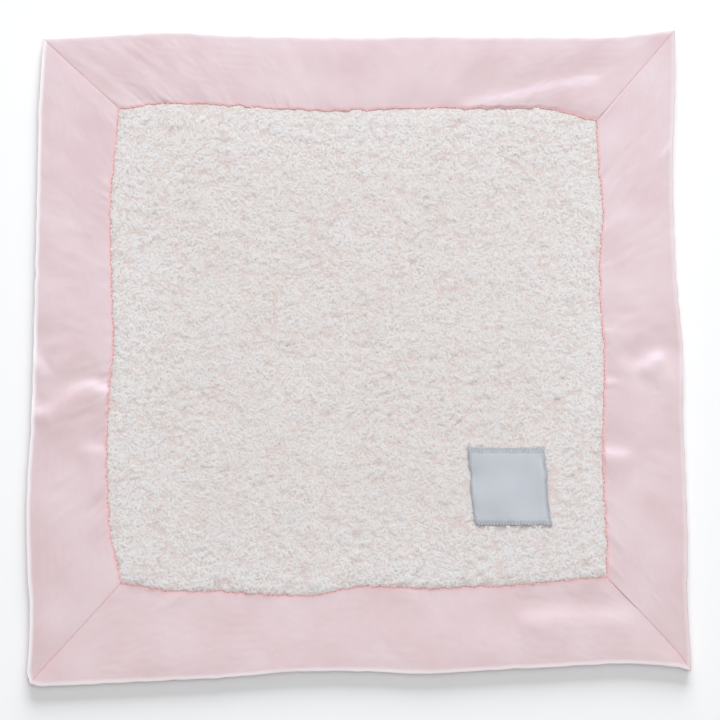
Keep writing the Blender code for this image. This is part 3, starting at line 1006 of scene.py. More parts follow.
def settle(strip, free, spare, satin):
    """Lets spare satin buckle between the seams that hold it, as a cloth at ten times its size."""
    strip.data.transform(Matrix.Scale(SETTLE_SCALE, 4))
    held = 1 - FREE_SHARE * free
    held[:MITRE_ROWS] = held[-MITRE_ROWS:] = 1
    for name, weights in (("held", held), ("spare", spare)):
        group = strip.vertex_groups.new(name=name)
        for vertex, weight in enumerate(weights.ravel()):
            group.add((vertex,), float(weight), "REPLACE")
    cloth = strip.modifiers.new("settle", "CLOTH")
    cloth.point_cache.frame_start, cloth.point_cache.frame_end = 1, SETTLE_FRAMES
    settings = cloth.settings
    for name, value in SETTLE_CLOTH.items():
        setattr(settings, name, value)
    settings.vertex_group_mass = "held"
    settings.vertex_group_shrink = "spare"
    settings.shrink_min, settings.shrink_max = 0, -satin.growth
    settings.effector_weights.gravity = 0
    settings.use_pressure = True
    settings.uniform_pressure_force = satin.loft
    cloth.collision_settings.use_collision = False
    scene = bpy.context.scene
    for moment in range(1, SETTLE_FRAMES + 1):
        scene.frame_set(moment)
    apply_modifiers(strip)
    scene.frame_set(1)
    strip.vertex_groups.clear()
    strip.data.transform(Matrix.Scale(1 / SETTLE_SCALE, 4))


def crease(mesh, side):
    """Raises the folds that stand out, along their lines across one side."""
    points = read(mesh.vertices, "co", 3)
    free = read(mesh.attributes["free"].data, "value")[:, 0]
    for fold_side, line, high, wide in FOLDS:
        if fold_side == side:
            off, beside = from_line(points[:, :2], smooth_through(line, FOLD_STEPS))
            profile = np.tanh(off / wide) * np.exp(-((off / FOLD_REACH) ** 2))
            points[:, 2] += high * profile * beside * np.minimum(free * 1.5, 1)
    mesh.vertices.foreach_set("co", points.ravel())
    mesh.update()


class LOVEY_OT_border(Operator):
    """Make the four mitred strips of padded satin"""

    bl_idname = "lovey.border"
    bl_label = "Satin Border"

    def execute(self, context):
        satin = context.scene.lovey_satin
        finish = finish_once("woven satin", satin_finish, satin)
        for side in SIDES:
            points, uv, free, inwards, (run, width) = strip_points(side, satin)
            mesh = grid_mesh(f"satin_border_{side}", points, uv)
            # Painted shade along the seam and down the mitres.
            add_attribute(mesh, "crease", self.painted_crease_shade(uv[..., 0], run, inwards))
            thin = 1 - smooth_step(0.0009, 0.0022, inwards)
            # Painted highlight on the rolled rim, strongest on the left and bottom sides.
            add_attribute(mesh, "rim", RIM_HIGHLIGHT_SHARES[side] * thin * smooth_step(0.0001, 0.0004, inwards))
            at_seam = smooth_step(BORDER_WIDTH - 0.0020, BORDER_WIDTH, inwards)
            add_attribute(mesh, "thin", np.maximum(thin, at_seam))
            add_attribute(mesh, "free", free)
            strip = add_piece(mesh.name, mesh, finish)
            near_seam = np.exp(-np.abs(BORDER_WIDTH - inwards) / SPARE_REACH)
            spare = SPARE_LEAST + (1 - SPARE_LEAST) * near_seam
            settle(strip, free, spare, satin)
            refine(strip, 1)
            crease(strip.data, side)
            thicken(strip, satin.thickness)
            fluff_up(strip.data, satin.glow * read(strip.data.attributes["thin"].data, "value"))
            hand_over(strip, "pink_satin", f"border_{side}")
        return {"FINISHED"}

    def painted_crease_shade(self, distance, run, inwards):
        """Painted shade: how much deeper the colour is beside the seam and down the mitres, where shade
        falls in the creases.
        """
        seam = smooth_step(BORDER_WIDTH - 0.0018, BORDER_WIDTH - 0.0004, inwards)
        mitre = 1 - smooth_step(0.0002, 0.0009, np.minimum(distance, run - distance))
        return np.maximum(seam, 0.35 * mitre)


class LOVEY_OT_back(Operator):
    """Make the satin back, which curls up to the hem at its rim"""

    bl_idname = "lovey.back"
    bl_label = "Satin Back"

    def execute(self, context):
        satin = context.scene.lovey_satin
        count = 100
        rim = np.array((-0.004, -0.0013, -0.0004, 0.0, 0.0002, 0.0004, 0.0009, 0.0018, 0.0040, 0.012))
        lip = satin.hem_height
        rim_height = np.array(
            (lip - 0.0001, lip, lip, lip - 0.0003, 0.0021, 0.0011, 0.0005, 0.0002, 0.0001, 0.0)
        )
        middle = np.linspace(0.012, SIDE - 0.012, count)[1:-1]
        stations = np.concatenate((rim, middle, SIDE - rim[::-1]))
        from_edge = np.minimum(stations, SIDE - stations)
        inside = np.abs(from_edge)
        shares = np.where(stations < SIDE / 2, inside, SIDE - inside) / SIDE
        x_share, y_share = np.meshgrid(shares, shares, indexing="ij")
        flat = blanket_plan(x_share, y_share)
        height = np.interp(from_edge, rim, rim_height)
        rise = np.maximum(height[:, None], height[None, :])
        inner = np.minimum(inside[:, None], inside[None, :])
        x, y = flat[..., 0], flat[..., 1]
        waves = ripples(x, y, 0.06, 0.045, 41) + 0.5 * ripples(x, y, 0.02, 0.03, 43)
        rise = rise + 0.00035 * np.maximum(waves, 0) * smooth_step(0.006, 0.03, inner)
        points = np.dstack((flat, np.maximum(rise, 0)))
        mesh = grid_mesh("satin_back", points, points[..., :2])
        add_attribute(mesh, "crease", np.zeros(rise.size))
        add_attribute(mesh, "rim", np.zeros(rise.size))
        back = add_piece("satin_back", mesh, finish_once("woven satin", satin_finish, satin))
        thicken(back, satin.thickness)
        hand_over(back, "pink_satin", "back_panel")
        return {"FINISHED"}


def blanket_plan(x_share, y_share, inwards=0.0):
    """Points inside an outline that lies a distance in from the outer edge, blended from its four sides."""
    ins = np.full(x_share.shape, inwards)
    left, right = plan("left", y_share, ins), plan("right", 1 - y_share, ins)
    bottom, top = plan("bottom", 1 - x_share, ins), plan("top", x_share, ins)
    x, y = x_share[..., None], y_share[..., None]
    low_left, low_right, high_right, high_left = (
        plan(side, np.zeros(1), np.array([inwards]))[0] for side in ("left", "bottom", "right", "top")
    )
    low = low_left * (1 - x) * (1 - y)
    corners = low + high_left * (1 - x) * y + high_right * x * y + low_right * x * (1 - y)
    return left * (1 - x) + right * x + bottom * (1 - y) + top * y - corners


class LOVEY_OT_wadding(Operator):
    """Make the wadding inside the border"""

    bl_idname = "lovey.wadding"
    bl_label = "Wadding"

    def execute(self, context):
        satin = context.scene.lovey_satin
        finish = finish_once("fibre wadding", wadding_finish)
        rows, columns = 120, 16
        outer = face_section(satin)
        for seed, side in enumerate(SIDES):
            t = np.linspace(0.006, 0.994, rows)[:, None]
            inwards = np.linspace(0.0045, 0.037, columns)[None, :]
            t, inwards = np.broadcast_arrays(t, inwards)
            flat = plan(side, t, inwards)
            dip = np.minimum(along(FOLD_SHARES[side], t), 0)
            top = np.interp(inwards, outer[:, 0], outer[:, 1]) - 0.0021
            top = top + satin.fold_rise * np.interp(inwards, outer[:, 0], outer[:, 2]) * dip
            top = top + 0.0002 * ripples(flat[..., 0], flat[..., 1], 0.006, 0.006, 60 + seed)
            upper = np.dstack((flat, np.maximum(top, 0.0016)))
            lower = np.dstack((flat, np.full(top.shape, 0.0009)))
            mesh = slab_mesh(f"wadding_strip_{side}", upper, lower)
            pad = add_piece(mesh.name, mesh, finish)
            hand_over(pad, "white_wadding", f"wadding_{side}")
        return {"FINISHED"}


def slab_mesh(name, upper, lower):
    """A closed pad between two grids of points."""
    form = bmesh.new()
    rows, columns = upper.shape[:2]
    layers = [[[form.verts.new(point) for point in row] for row in grid] for grid in (upper, lower)]
    for row in range(rows - 1):
        for column in range(columns - 1):
            for layer, way in zip(layers, (1, -1)):
                ring = (
                    layer[row][column],
                    layer[row][column + 1],
                    layer[row + 1][column + 1],
                    layer[row + 1][column],
                )
                form.faces.new(ring[::way])
    border = [(0, column) for column in range(columns)]
    border += [(row, columns - 1) for row in range(1, rows)]
    border += [(rows - 1, column) for column in range(columns - 2, -1, -1)]
    border += [(row, 0) for row in range(rows - 2, 0, -1)]
    for (row, column), (next_row, next_column) in zip(border, border[1:] + border[:1]):
        form.faces.new(
            (
                layers[0][next_row][next_column],
                layers[0][row][column],
                layers[1][row][column],
                layers[1][next_row][next_column],
            )
        )
    if form.calc_volume(signed=True) < 0:
        bmesh.ops.reverse_faces(form, faces=form.faces[:])
    mesh = bpy.data.meshes.new(name)
    form.to_mesh(mesh)
    form.free()
    mesh.shade_smooth()
    return mesh


PLUSH_STEPS = 110
PILE_STEPS = 260
LABEL_BED = 0.0004
LABEL_SINK_REACH = 0.004


def label_middle(label):
    """Where the label's middle lies on the plan."""
    corner = SEAM_CORNERS["right_bottom"] - MIDDLE
    return corner + np.array((-label.from_right - label.width / 2, label.from_bottom + label.height / 2))


def label_shares(points, label):
    """Where points on the plan lie on the label, as shares of its width and height."""
    at = points - label_middle(label)
    y_share = at[..., 1] / label.height + 0.5
    x = at[..., 0] + (y_share - 0.5) * label.height * LABEL_LEAN_SHARE
    return x / label.width + 0.5, y_share


def beyond_label(points, label):
    """How far points lie outside the label's outline, negative inside."""
    x_share, y_share = label_shares(points, label)
    x_out = (np.abs(x_share - 0.5) - 0.5) * label.width
    y_out = (np.abs(y_share - 0.5) - 0.5) * label.height
    outside = np.hypot(np.maximum(x_out, 0), np.maximum(y_out, 0))
    return outside + np.minimum(np.maximum(x_out, y_out), 0)


def furrows(x, y, plush):
    """How deep in a furrow between clumps of pile a point lies, from 0 to 1."""
    waves = ripples(x, y, plush.clump_width, plush.clump_length, 77, 24)
    return np.exp(-((waves / 0.3) ** 2))


def ground_height(flat, from_seam, plush, label):
    """The height of the plush's ground: crowned, lumpy, and pressed up against the label."""
    shoulder = np.sqrt(1 - (1 - np.clip(from_seam / plush.shoulder, 0, 1)) ** 2)
    height = plush.rim_height + (plush.ground_height - plush.rim_height) * shoulder
    x, y = flat[..., 0], flat[..., 1]
    lumps = ripples(x, y, 0.011, 0.009, 71) + 0.6 * ripples(x, y, 0.03, 0.04, 73)
    height = height + plush.lump_rise * lumps * smooth_step(0, 0.004, from_seam)
    height = height - plush.furrow_depth * furrows(x, y, plush)
    bed = label.lift - LABEL_BED
    under = 1 - smooth_step(-LABEL_SINK_REACH, 0, beyond_label(flat, label))
    return height + (bed - height) * under


# The locks of the pile, and how far they stray from the way they are combed
LOCK_KINDS = 10
LOCK_STEPS = 5
LOCK_SIDES = 3
COMB_STRAY = 1.3
FUZZ = 0.0015


def lock_mesh(name, plush, draw):
    """One lock of pile: it stands up from its root, leans over and curls in on itself."""
    share = np.linspace(0, 1, LOCK_STEPS + 1)
    lean = math.radians(draw.uniform(35, 60))
    drop = math.radians(draw.uniform(4, 16))
    bend = smooth_step(0.05, draw.uniform(0.45, 0.65), share)
    pitch = lean - (lean + drop) * bend
    turn = math.radians(draw.uniform(110, 290)) * draw.choice((-1, 1))
    heading = turn * share ** draw.uniform(1.0, 1.5) + 0.25 * np.sin(share * draw.uniform(6, 11))
    way = np.stack(
        (np.cos(pitch) * np.cos(heading), np.cos(pitch) * np.sin(heading), np.sin(pitch)), axis=-1
    )
    step = plush.curl_length * draw.uniform(0.8, 1.15) / LOCK_STEPS
    spine = np.vstack((np.zeros(3), np.cumsum(way[:-1] * step, axis=0)))
    spine[:, :2] -= spine[3:, :2].mean(0) * 0.6
    spine[:, 2] -= plush.curl_depth
    radius = plush.curl_thickness / 2 * (0.25 + 0.75 * (1 - (2 * share - 1) ** 4) ** 0.5)
    across = np.stack((-np.sin(heading), np.cos(heading), np.zeros_like(heading)), axis=-1)
    above = np.cross(way, across)
    angles = np.arange(LOCK_SIDES) * 2 * math.pi / LOCK_SIDES + draw.uniform(0, 1)
    rings = [
        spine[at] + radius[at] * (1.2 * math.cos(angle) * across[at] + 0.75 * math.sin(angle) * above[at])
        for at in range(LOCK_STEPS + 1)
        for angle in angles
    ]
    mesh = tube_mesh(name, rings, LOCK_SIDES)
    heights = np.array(rings)[:, 2]
    add_attribute(mesh, "strand", smooth_step(0.1, 0.8, (heights - heights.min()) / np.ptp(heights)))
    return mesh


def tube_mesh(name, rings, sides):
    """A closed tube through rings of points, each with that many sides."""
    last = len(rings) - sides
    faces = [tuple(range(sides))[::-1], tuple(range(last, len(rings)))]
    for low in range(0, last, sides):
        for corner in range(sides):
            beside = (corner + 1) % sides
            high = low + sides
            faces.append((low + corner, low + beside, high + beside, high + corner))
    mesh = bpy.data.meshes.new(name)
    mesh.from_pydata([tuple(point) for point in rings], [], faces)
    outwards_faces(mesh)
    mesh.shade_smooth()
    return mesh


def fluff_up(mesh, softness):
    """Leans a mesh's normals towards straight up, as fluff and thin cloth scatter light."""
    leaned = read(mesh.vertices, "normal", 3) * (1 - softness) + softness * np.array((0, 0, 1))
    leaned /= np.linalg.norm(leaned, axis=1, keepdims=True)
    mesh.normals_split_custom_set_from_vertices(leaned.tolist())


def outwards_faces(mesh):
    """Turns a closed mesh right side out."""
    form = bmesh.new()
    form.from_mesh(mesh)
    if form.calc_volume(signed=True) < 0:
        bmesh.ops.reverse_faces(form, faces=form.faces[:])
        form.to_mesh(mesh)
    form.free()


def curl_tree():
    """Scatters locks over a ground, combed one way in each patch, and keeps those that stand in a tile."""
    inputs = (
        ("Ground", "Geometry"),
        ("Locks", "Collection"),
        ("Pile", "Material"),
        ("Spacing", "Float", 0.002),
        ("Density", "Float", 1.0),
        ("Smallest", "Float", 0.8),
        ("Largest", "Float", 1.1),
        ("Lean", "Float", 0.3),
        ("Tile Low", "Vector"),
        ("Tile High", "Vector"),
        ("Seed", "Int", 1),
    )
    tree, given, result = new_group("curly pile", "GeometryNodeTree", inputs, (("Pile", "Geometry"),))
    get = given.outputs
    scattered = put(
        tree,
        "GeometryNodeDistributePointsOnFaces",
        {
            "Mesh": get["Ground"],
            "Distance Min": get["Spacing"],
            "Density Max": get["Density"],
            "Density Factor": stored(tree, "cover"),
            "Seed": get["Seed"],
        },
        distribute_method="POISSON",
    )
    place = put(tree, "GeometryNodeInputPosition").outputs["Position"]
    apart = put(tree, "ShaderNodeSeparateXYZ", {"Vector": place})
    low = put(tree, "ShaderNodeSeparateXYZ", {"Vector": get["Tile Low"]})
    high = put(tree, "ShaderNodeSeparateXYZ", {"Vector": get["Tile High"]})
    tests = []
    for axis in ("X", "Y"):
        at = apart.outputs[axis]
        for limit, operation in ((low, "LESS_THAN"), (high, "GREATER_EQUAL")):
            sides = {"A": at, "B": limit.outputs[axis]}
            tests.append(put(tree, "FunctionNodeCompare", sides, operation=operation).outputs["Result"])
    outside = tests[0]
    for test in tests[1:]:
        outside = put(tree, "FunctionNodeBooleanMath", {0: outside, 1: test}, operation="OR").outputs[0]
    found = {"Geometry": scattered.outputs["Points"], "Selection": outside}
    kept = put(tree, "GeometryNodeDeleteGeometry", found, domain="POINT")
    combed = put(tree, "ShaderNodeTexNoise", {"Vector": place, "Scale": 45.0, "Detail": 1.0})
    swirl = maths(tree, "MULTIPLY", combed.outputs[0], 4 * math.pi)
    spin = maths(tree, "ADD", swirl, chance(tree, -COMB_STRAY, COMB_STRAY, get["Seed"]))
    below = maths(tree, "MULTIPLY", get["Lean"], -1.0)
    seeds = [maths(tree, "ADD", get["Seed"], float(more)) for more in range(1, 5)]
    tips = [chance(tree, below, get["Lean"], seed) for seed in seeds[:2]]
    euler = put(tree, "ShaderNodeCombineXYZ", {"X": tips[0], "Y": tips[1], "Z": spin})
    turned = put(tree, "FunctionNodeEulerToRotation", {"Euler": euler.outputs[0]})
    rotation = put(
        tree,
        "FunctionNodeRotateRotation",
        {"Rotation": scattered.outputs["Rotation"], "Rotate By": turned.outputs[0]},
        rotation_space="LOCAL",
    )
    size = chance(tree, get["Smallest"], get["Largest"], seeds[2])
    scale = maths(tree, "MULTIPLY", size, stored(tree, "stature"))
    kinds = {"Collection": get["Locks"], "Separate Children": True, "Reset Children": True}
    locks = put(tree, "GeometryNodeCollectionInfo", kinds)
    placed = put(
        tree,
        "GeometryNodeInstanceOnPoints",
        {
            "Points": kept.outputs["Geometry"],
            "Instance": locks.outputs[0],
            "Pick Instance": True,
            "Instance Index": chance(tree, 0, LOCK_KINDS - 1, seeds[3], "INT"),
            "Rotation": rotation.outputs[0],
            "Scale": scale,
        },
    )
    real = put(tree, "GeometryNodeRealizeInstances", {"Geometry": placed.outputs[0]})
    fuzz = put(tree, "ShaderNodeTexNoise", {"Vector": place, "Scale": 150.0, "Detail": 1.0})
    from_grey = {0: fuzz.outputs["Color"], 1: (0.5, 0.5, 0.5)}
    centred = put(tree, "ShaderNodeVectorMath", from_grey, operation="SUBTRACT")
    eased = put(tree, "ShaderNodeVectorMath", {0: centred.outputs[0], "Scale": FUZZ}, operation="SCALE")
    moved = put(
        tree, "GeometryNodeSetPosition", {"Geometry": real.outputs[0], "Offset": eased.outputs[0]}
    )
    smooth = put(tree, "GeometryNodeSetShadeSmooth", {"Geometry": moved.outputs[0]})
    finished = put(
        tree, "GeometryNodeSetMaterial", {"Geometry": smooth.outputs[0], "Material": get["Pile"]}
    )
    tree.links.new(finished.outputs[0], result.inputs["Pile"])
    return tree


def grown(name, mesh, tree, values, finish):
    """A piece that a geometry tree grows on a mesh, made a plain mesh."""
    piece = add_piece(name, mesh, None)
    modifier = piece.modifiers.new(tree.name, "NODES")
    modifier.node_group = tree
    sockets = {item.name: item.identifier for item in tree.interface.items_tree if item.in_out == "INPUT"}
    for socket, value in values.items():
        modifier[sockets[socket]] = value
    apply_modifiers(piece)
    piece.data.materials.clear()
    piece.data.materials.append(finish)
    return piece


# The plush starts a little inside the seam, and its curls are made in square tiles
PLUSH_GAP = 0.0003
PILE_TILES = 3
PILE_REACH = 0.145


class LOVEY_OT_plush(Operator):
    """Make the curly plush on its knitted ground"""

    bl_idname = "lovey.plush"
    bl_label = "Curly Plush"

    def execute(self, context):
        plush, label = context.scene.lovey_plush, context.scene.lovey_label
        inset = BORDER_WIDTH + PLUSH_GAP
        upper, from_seam = self.face(PLUSH_STEPS, inset, plush, label)
        under = np.full(from_seam.shape, 0.0024) - 0.0008 * smooth_step(0.006, 0.012, from_seam)
        lower = np.dstack((upper[..., :2], under))
        ground = slab_mesh("plush_ground", upper, np.minimum(lower, upper - (0, 0, plush.thickness)))
        furrow = furrows(upper[..., 0], upper[..., 1], plush)
        # Painted shade, partly real roots: the furrows are marked for the root colour.
        add_attribute(ground, "tone", np.stack((furrow, furrow)) * 0.7)
        ground_piece = add_piece(
            "plush_ground", ground, finish_once("knitted ground", ground_finish, plush)
        )
        fluff_up(ground, plush.softness)
        pile = finish_once("curly pile", pile_finish, plush)
        draw = np.random.default_rng(plush.seed)
        locks = bpy.data.collections.new("pile_locks")
        for kind in range(LOCK_KINDS):
            lock = bpy.data.objects.new(f"pile_lock_{kind}", lock_mesh(f"pile_lock_{kind}", plush, draw))
            locks.objects.link(lock)
        tree = curl_tree()
        upper, from_seam = self.face(PILE_STEPS, inset, plush, label)
        flat = upper[..., :2]
        beside_label = smooth_step(0.0001, 0.0007, beyond_label(flat, label))
        cover = beside_label * smooth_step(-0.0001, 0.0003, from_seam)
        furrow = furrows(flat[..., 0], flat[..., 1], plush)
        rim = 1 - smooth_step(0.004, 0.05, from_seam)
        stature = 0.55 + 0.45 * smooth_step(0, 0.0025, from_seam)
        cells = np.linspace(-PILE_REACH, PILE_REACH, PILE_TILES + 1)
        for row in range(PILE_TILES):
            for column in range(PILE_TILES):
                face = grid_mesh("pile_face", upper.transpose(1, 0, 2))
                add_attribute(face, "cover", cover.T)
                # Painted shade, partly real roots: the furrows are marked for the root colour.
                add_attribute(face, "tone", furrow.T * 0.7)
                add_attribute(face, "stature", stature.T)
                add_attribute(face, "rim", rim.T)
                values = {
                    "Locks": locks,
                    "Pile": pile,
                    "Spacing": plush.spacing,
                    "Density": 1.2 / plush.spacing**2 * 3,
                    "Smallest": plush.smallest,
                    "Largest": plush.largest,
                    "Lean": 0.18,
                    "Tile Low": (cells[column], cells[row], 0.0),
                    "Tile High": (cells[column + 1], cells[row + 1], 1.0),
                    "Seed": plush.seed,
                }
                tile = grown(f"plush_curls_{row * PILE_TILES + column + 1}", face, tree, values, pile)
                fluff_up(tile.data, plush.softness)
                hand_over(tile, "ivory_plush")
        for lock in list(locks.objects):
            bpy.data.objects.remove(lock)
        bpy.data.collections.remove(locks)
        hand_over(ground_piece, "ivory_plush", "plush_panel")
        return {"FINISHED"}

    def face(self, steps, inset, plush, label):
        """Points over the upper face of the ground, and how far each is from the seam."""
        shares = np.linspace(0, 1, steps)
        x_share, y_share = np.meshgrid(shares, shares, indexing="ij")
        flat = blanket_plan(x_share, y_share, inset)
        nearest = np.minimum(np.minimum(x_share, 1 - x_share), np.minimum(y_share, 1 - y_share))
        from_seam = nearest * SIDE * 0.75
        height = ground_height(flat, from_seam, plush, label)
        return np.dstack((flat, height)), from_seam


def label_point(x_share, y_share, label):
    """Points on the label's face, which bows a little and dips at its edges where it is sewn down."""
    x = (x_share - 0.5) * label.width - (y_share - 0.5) * label.height * LABEL_LEAN_SHARE
    y = (y_share - 0.5) * label.height
    x = x + 0.0003 * ripples(y, 0, 0.011, 1, 83) * np.abs(2 * x_share - 1) ** 6
    y = y + 0.0003 * ripples(x, 0, 0.012, 1, 85) * np.abs(2 * y_share - 1) ** 6
    middle = label_middle(label)
    edge = np.minimum(
        np.minimum(x_share, 1 - x_share) * label.width, np.minimum(y_share, 1 - y_share) * label.height
    )
    sunk = 0.0003 * (1 - smooth_step(0, 0.0045, edge))
    bow = 0.0003 * ripples(x, y, 0.03, 0.022, 87)
    puckers = 0.0001 * ripples(x, y, 0.004, 0.012, 89) * (1 - smooth_step(0.001, 0.005, edge))
    z = label.lift + label.thickness - sunk + bow + puckers
    return np.stack(np.broadcast_arrays(middle[0] + x, middle[1] + y, z), axis=-1)


LABEL_STEPS = 84


def thread_tree():
    """Turns a line into a round thread of the given thickness."""
    inputs = (
        ("Line", "Geometry"),
        ("Thread", "Material"),
        ("Thickness", "Float", 0.0004),
        ("Spacing", "Float", 0.0003),
    )
    tree, given, result = new_group(
        "sewing thread", "GeometryNodeTree", inputs, (("Thread", "Geometry"),)
    )
    get = given.outputs
    line = put(tree, "GeometryNodeMeshToCurve", {"Mesh": get["Line"]})
    even = put(
        tree,
        "GeometryNodeResampleCurve",
        {"Curve": line.outputs[0], "Length": get["Spacing"]},
        mode="LENGTH",
    )
    radius = put(tree, "ShaderNodeMath", {0: get["Thickness"], 1: 0.5}, operation="MULTIPLY")
    ring = put(tree, "GeometryNodeCurvePrimitiveCircle", {"Resolution": 6, "Radius": radius.outputs[0]})
    tube = put(
        tree,
        "GeometryNodeCurveToMesh",
        {"Curve": even.outputs[0], "Profile Curve": ring.outputs[0], "Fill Caps": True},
    )
    smooth = put(tree, "GeometryNodeSetShadeSmooth", {"Geometry": tube.outputs[0]})
    real = put(tree, "GeometryNodeRealizeInstances", {"Geometry": smooth.outputs[0]})
    finished = put(
        tree, "GeometryNodeSetMaterial", {"Geometry": real.outputs[0], "Material": get["Thread"]}
    )
    tree.links.new(finished.outputs[0], result.inputs["Thread"])
    return tree


def line_mesh(name, lines):
    """A mesh of bare lines for a thread to follow."""
    vertices, edges = [], []
    for line in lines:
        first = len(vertices)
        vertices += [tuple(point) for point in line]
        edges += [(at, at + 1) for at in range(first, len(vertices) - 1)]
    mesh = bpy.data.meshes.new(name)
    mesh.from_pydata(vertices, edges, [])
    return mesh


class LOVEY_OT_label(Operator):
    """Make the woven label and the zigzag that holds it"""

    bl_idname = "lovey.label"
    bl_label = "Woven Label"

    def execute(self, context):
        label = context.scene.lovey_label
        shares = np.linspace(0, 1, LABEL_STEPS)
        y_share, x_share = np.meshgrid(shares, shares, indexing="ij")
        points = label_point(x_share, y_share, label)
        uv = np.dstack((x_share * label.width, y_share * label.height))
        mesh = grid_mesh(
            "woven_label", points.transpose(1, 0, 2)[:, ::-1], uv.transpose(1, 0, 2)[:, ::-1]
        )
        add_attribute(mesh, "edge", self.edge(x_share, y_share, label).T[:, ::-1])
        patch = add_piece("woven_label", mesh, finish_once("woven label", label_finish, label))
        thicken(patch, label.thickness)
        hand_over(patch, "grey_label", "label_patch")
        thread = finish_once("zigzag thread", thread_finish, "zigzag thread", label.thread)
        zigzag = grown(
            "label_zigzag",
            line_mesh("label_zigzag", [self.zigzag(label)]),
            thread_tree(),
            {"Thread": thread, "Thickness": label.thread_thickness, "Spacing": 0.00025},
            thread,
        )
        hand_over(zigzag, "label_thread", "label_zigzag_thread")
        return {"FINISHED"}

    def edge(self, x_share, y_share, label):
        """How dark the label is: along its cut edges, most of all above and below."""
        x, y = x_share * label.width, y_share * label.height
        from_side = np.minimum(x, label.width - x) + 0.0003 * ripples(y, x, 0.006, 0.05, 91)
        stray = 0.0003 * ripples(x, y, 0.006, 0.05, 93)
        side = 0.5 * (1 - smooth_step(0.0006, 0.0020, from_side))
        low = 0.5 * (1 - smooth_step(0.0014, 0.0034, y + stray))
        high = 1.0 * (1 - smooth_step(0.0016, 0.0040, label.height - y + stray))
        return np.maximum(np.maximum(side, low), high)

    def zigzag(self, label):
        """The line of the zigzag round the label's four edges."""
        edges = (("x", 0, 1), ("y", 1, 1), ("x", 1, -1), ("y", 0, -1))
        line = []
        for run, fixed, way in edges:
            length, other = (label.width, label.height) if run == "x" else (label.height, label.width)
            deep = label.stitch_depth if run == "x" else label.stitch_depth * 0.45
            first = 0.0012 / length
            count = 2 * round((length - 0.0024) / label.stitch_pitch) + 1
            steps = np.linspace(first, 1 - first, count)
            depths = np.where(np.arange(count) % 2, -0.0002, deep) / other
            for run_share, depth in zip(steps, depths):
                run_share = run_share if way > 0 else 1 - run_share
                side_share = depth if fixed == 0 else 1 - depth
                line.append((run_share, side_share) if run == "x" else (side_share, run_share))
        shares = np.array(line)
        points = label_point(
            np.clip(shares[:, 0], -0.01, 1.01), np.clip(shares[:, 1], -0.01, 1.01), label
        )
        points[:, 2] += label.thread_thickness * 0.3
        return points


def stitch_mesh(name):
    """One stitch of unit length: a plump twisted thread that dives at both ends."""
    steps, sides = 8, 5
    share = np.linspace(0, 1, steps + 1)
    spine = np.stack((share - 0.5, np.zeros_like(share), 0.18 * np.sin(math.pi * share) - 0.1), axis=-1)
    radius = 0.085 * (0.55 + 0.45 * np.sin(math.pi * share))
    rings = []
    for at in range(steps + 1):
        for corner in range(sides):
            angle = 2 * math.pi * (corner / sides + 0.6 * share[at])
            rings.append(spine[at] + radius[at] * np.array((0, math.cos(angle), math.sin(angle))))
    return tube_mesh(name, rings, sides)


def stitch_tree():
    """Lays stitches end to end along a line."""
    inputs = (
        ("Line", "Geometry"),
        ("Stitch", "Object"),
        ("Thread", "Material"),
        ("Pitch", "Float", 0.0025),
        ("Length", "Float", 0.0021),
    )
    tree, given, result = new_group("stitch row", "GeometryNodeTree", inputs, (("Stitches", "Geometry"),))
    get = given.outputs
    line = put(tree, "GeometryNodeMeshToCurve", {"Mesh": get["Line"]})
    spots = put(
        tree,
        "GeometryNodeCurveToPoints",
        {"Curve": line.outputs[0], "Length": get["Pitch"]},
        mode="LENGTH",
    )
    aimed = put(tree, "FunctionNodeAlignRotationToVector", {"Vector": spots.outputs["Tangent"]}, axis="X")
    stitch = put(tree, "GeometryNodeObjectInfo", {"Object": get["Stitch"]})
    placed = put(
        tree,
        "GeometryNodeInstanceOnPoints",
        {
            "Points": spots.outputs["Points"],
            "Instance": stitch.outputs["Geometry"],
            "Rotation": aimed.outputs[0],
            "Scale": get["Length"],
        },
    )
    real = put(tree, "GeometryNodeRealizeInstances", {"Geometry": placed.outputs[0]})
    finished = put(
        tree, "GeometryNodeSetMaterial", {"Geometry": real.outputs[0], "Material": get["Thread"]}
    )
    tree.links.new(finished.outputs[0], result.inputs["Stitches"])
    return tree


class LOVEY_OT_stitches(Operator):
    """Make the stitches of the plush seam, the hem and the mitres"""

    bl_idname = "lovey.stitches"
    bl_label = "Stitches"

    def execute(self, context):
        satin = context.scene.lovey_satin
        thread = finish_once("sewing thread", thread_finish, "sewing thread", satin.thread)
        stitch = bpy.data.objects.new("stitch", stitch_mesh("stitch"))
        tree = stitch_tree()
        t = np.linspace(0.004, 0.996, 200)
        for side, (corner, _) in SIDES.items():
            rows = {
                "seam": (
                    f"seam_thread_{side}",
                    self.row(side, t, BORDER_WIDTH - 0.0001, satin.seam_height + 0.0002),
                ),
                "hem": (f"hem_thread_{side}", self.row(side, t, 0.0008, satin.hem_height + 0.00016)),
                "mitre": (f"mitre_thread_{corner}", self.mitre(side, satin)),
            }
            for kind, (node, points) in rows.items():
                name = node.replace("_thread", "_stitches")
                values = {"Stitch": stitch, "Thread": thread, "Pitch": 0.0025, "Length": 0.0022}
                piece = grown(name, line_mesh(name, [points]), tree, values, thread)
                hand_over(piece, "pink_thread", node)
        bpy.data.objects.remove(stitch)
        return {"FINISHED"}

    def row(self, side, t, inwards, height):
        """A line along one side."""
        flat = plan(side, t, np.full(t.shape, inwards))
        return np.column_stack((flat, np.full(t.shape, height)))

    def mitre(self, side, satin):
        """A line down the mitre at one side's start, under the satin."""
        inwards = np.linspace(0.005, BORDER_WIDTH - 0.006, 24)
        section = face_section(satin)
        height = np.interp(inwards, section[:, 0], section[:, 1]) - MITRE_DEPTH - 0.0006
        return np.column_stack((plan(side, np.zeros(inwards.shape), inwards), height))


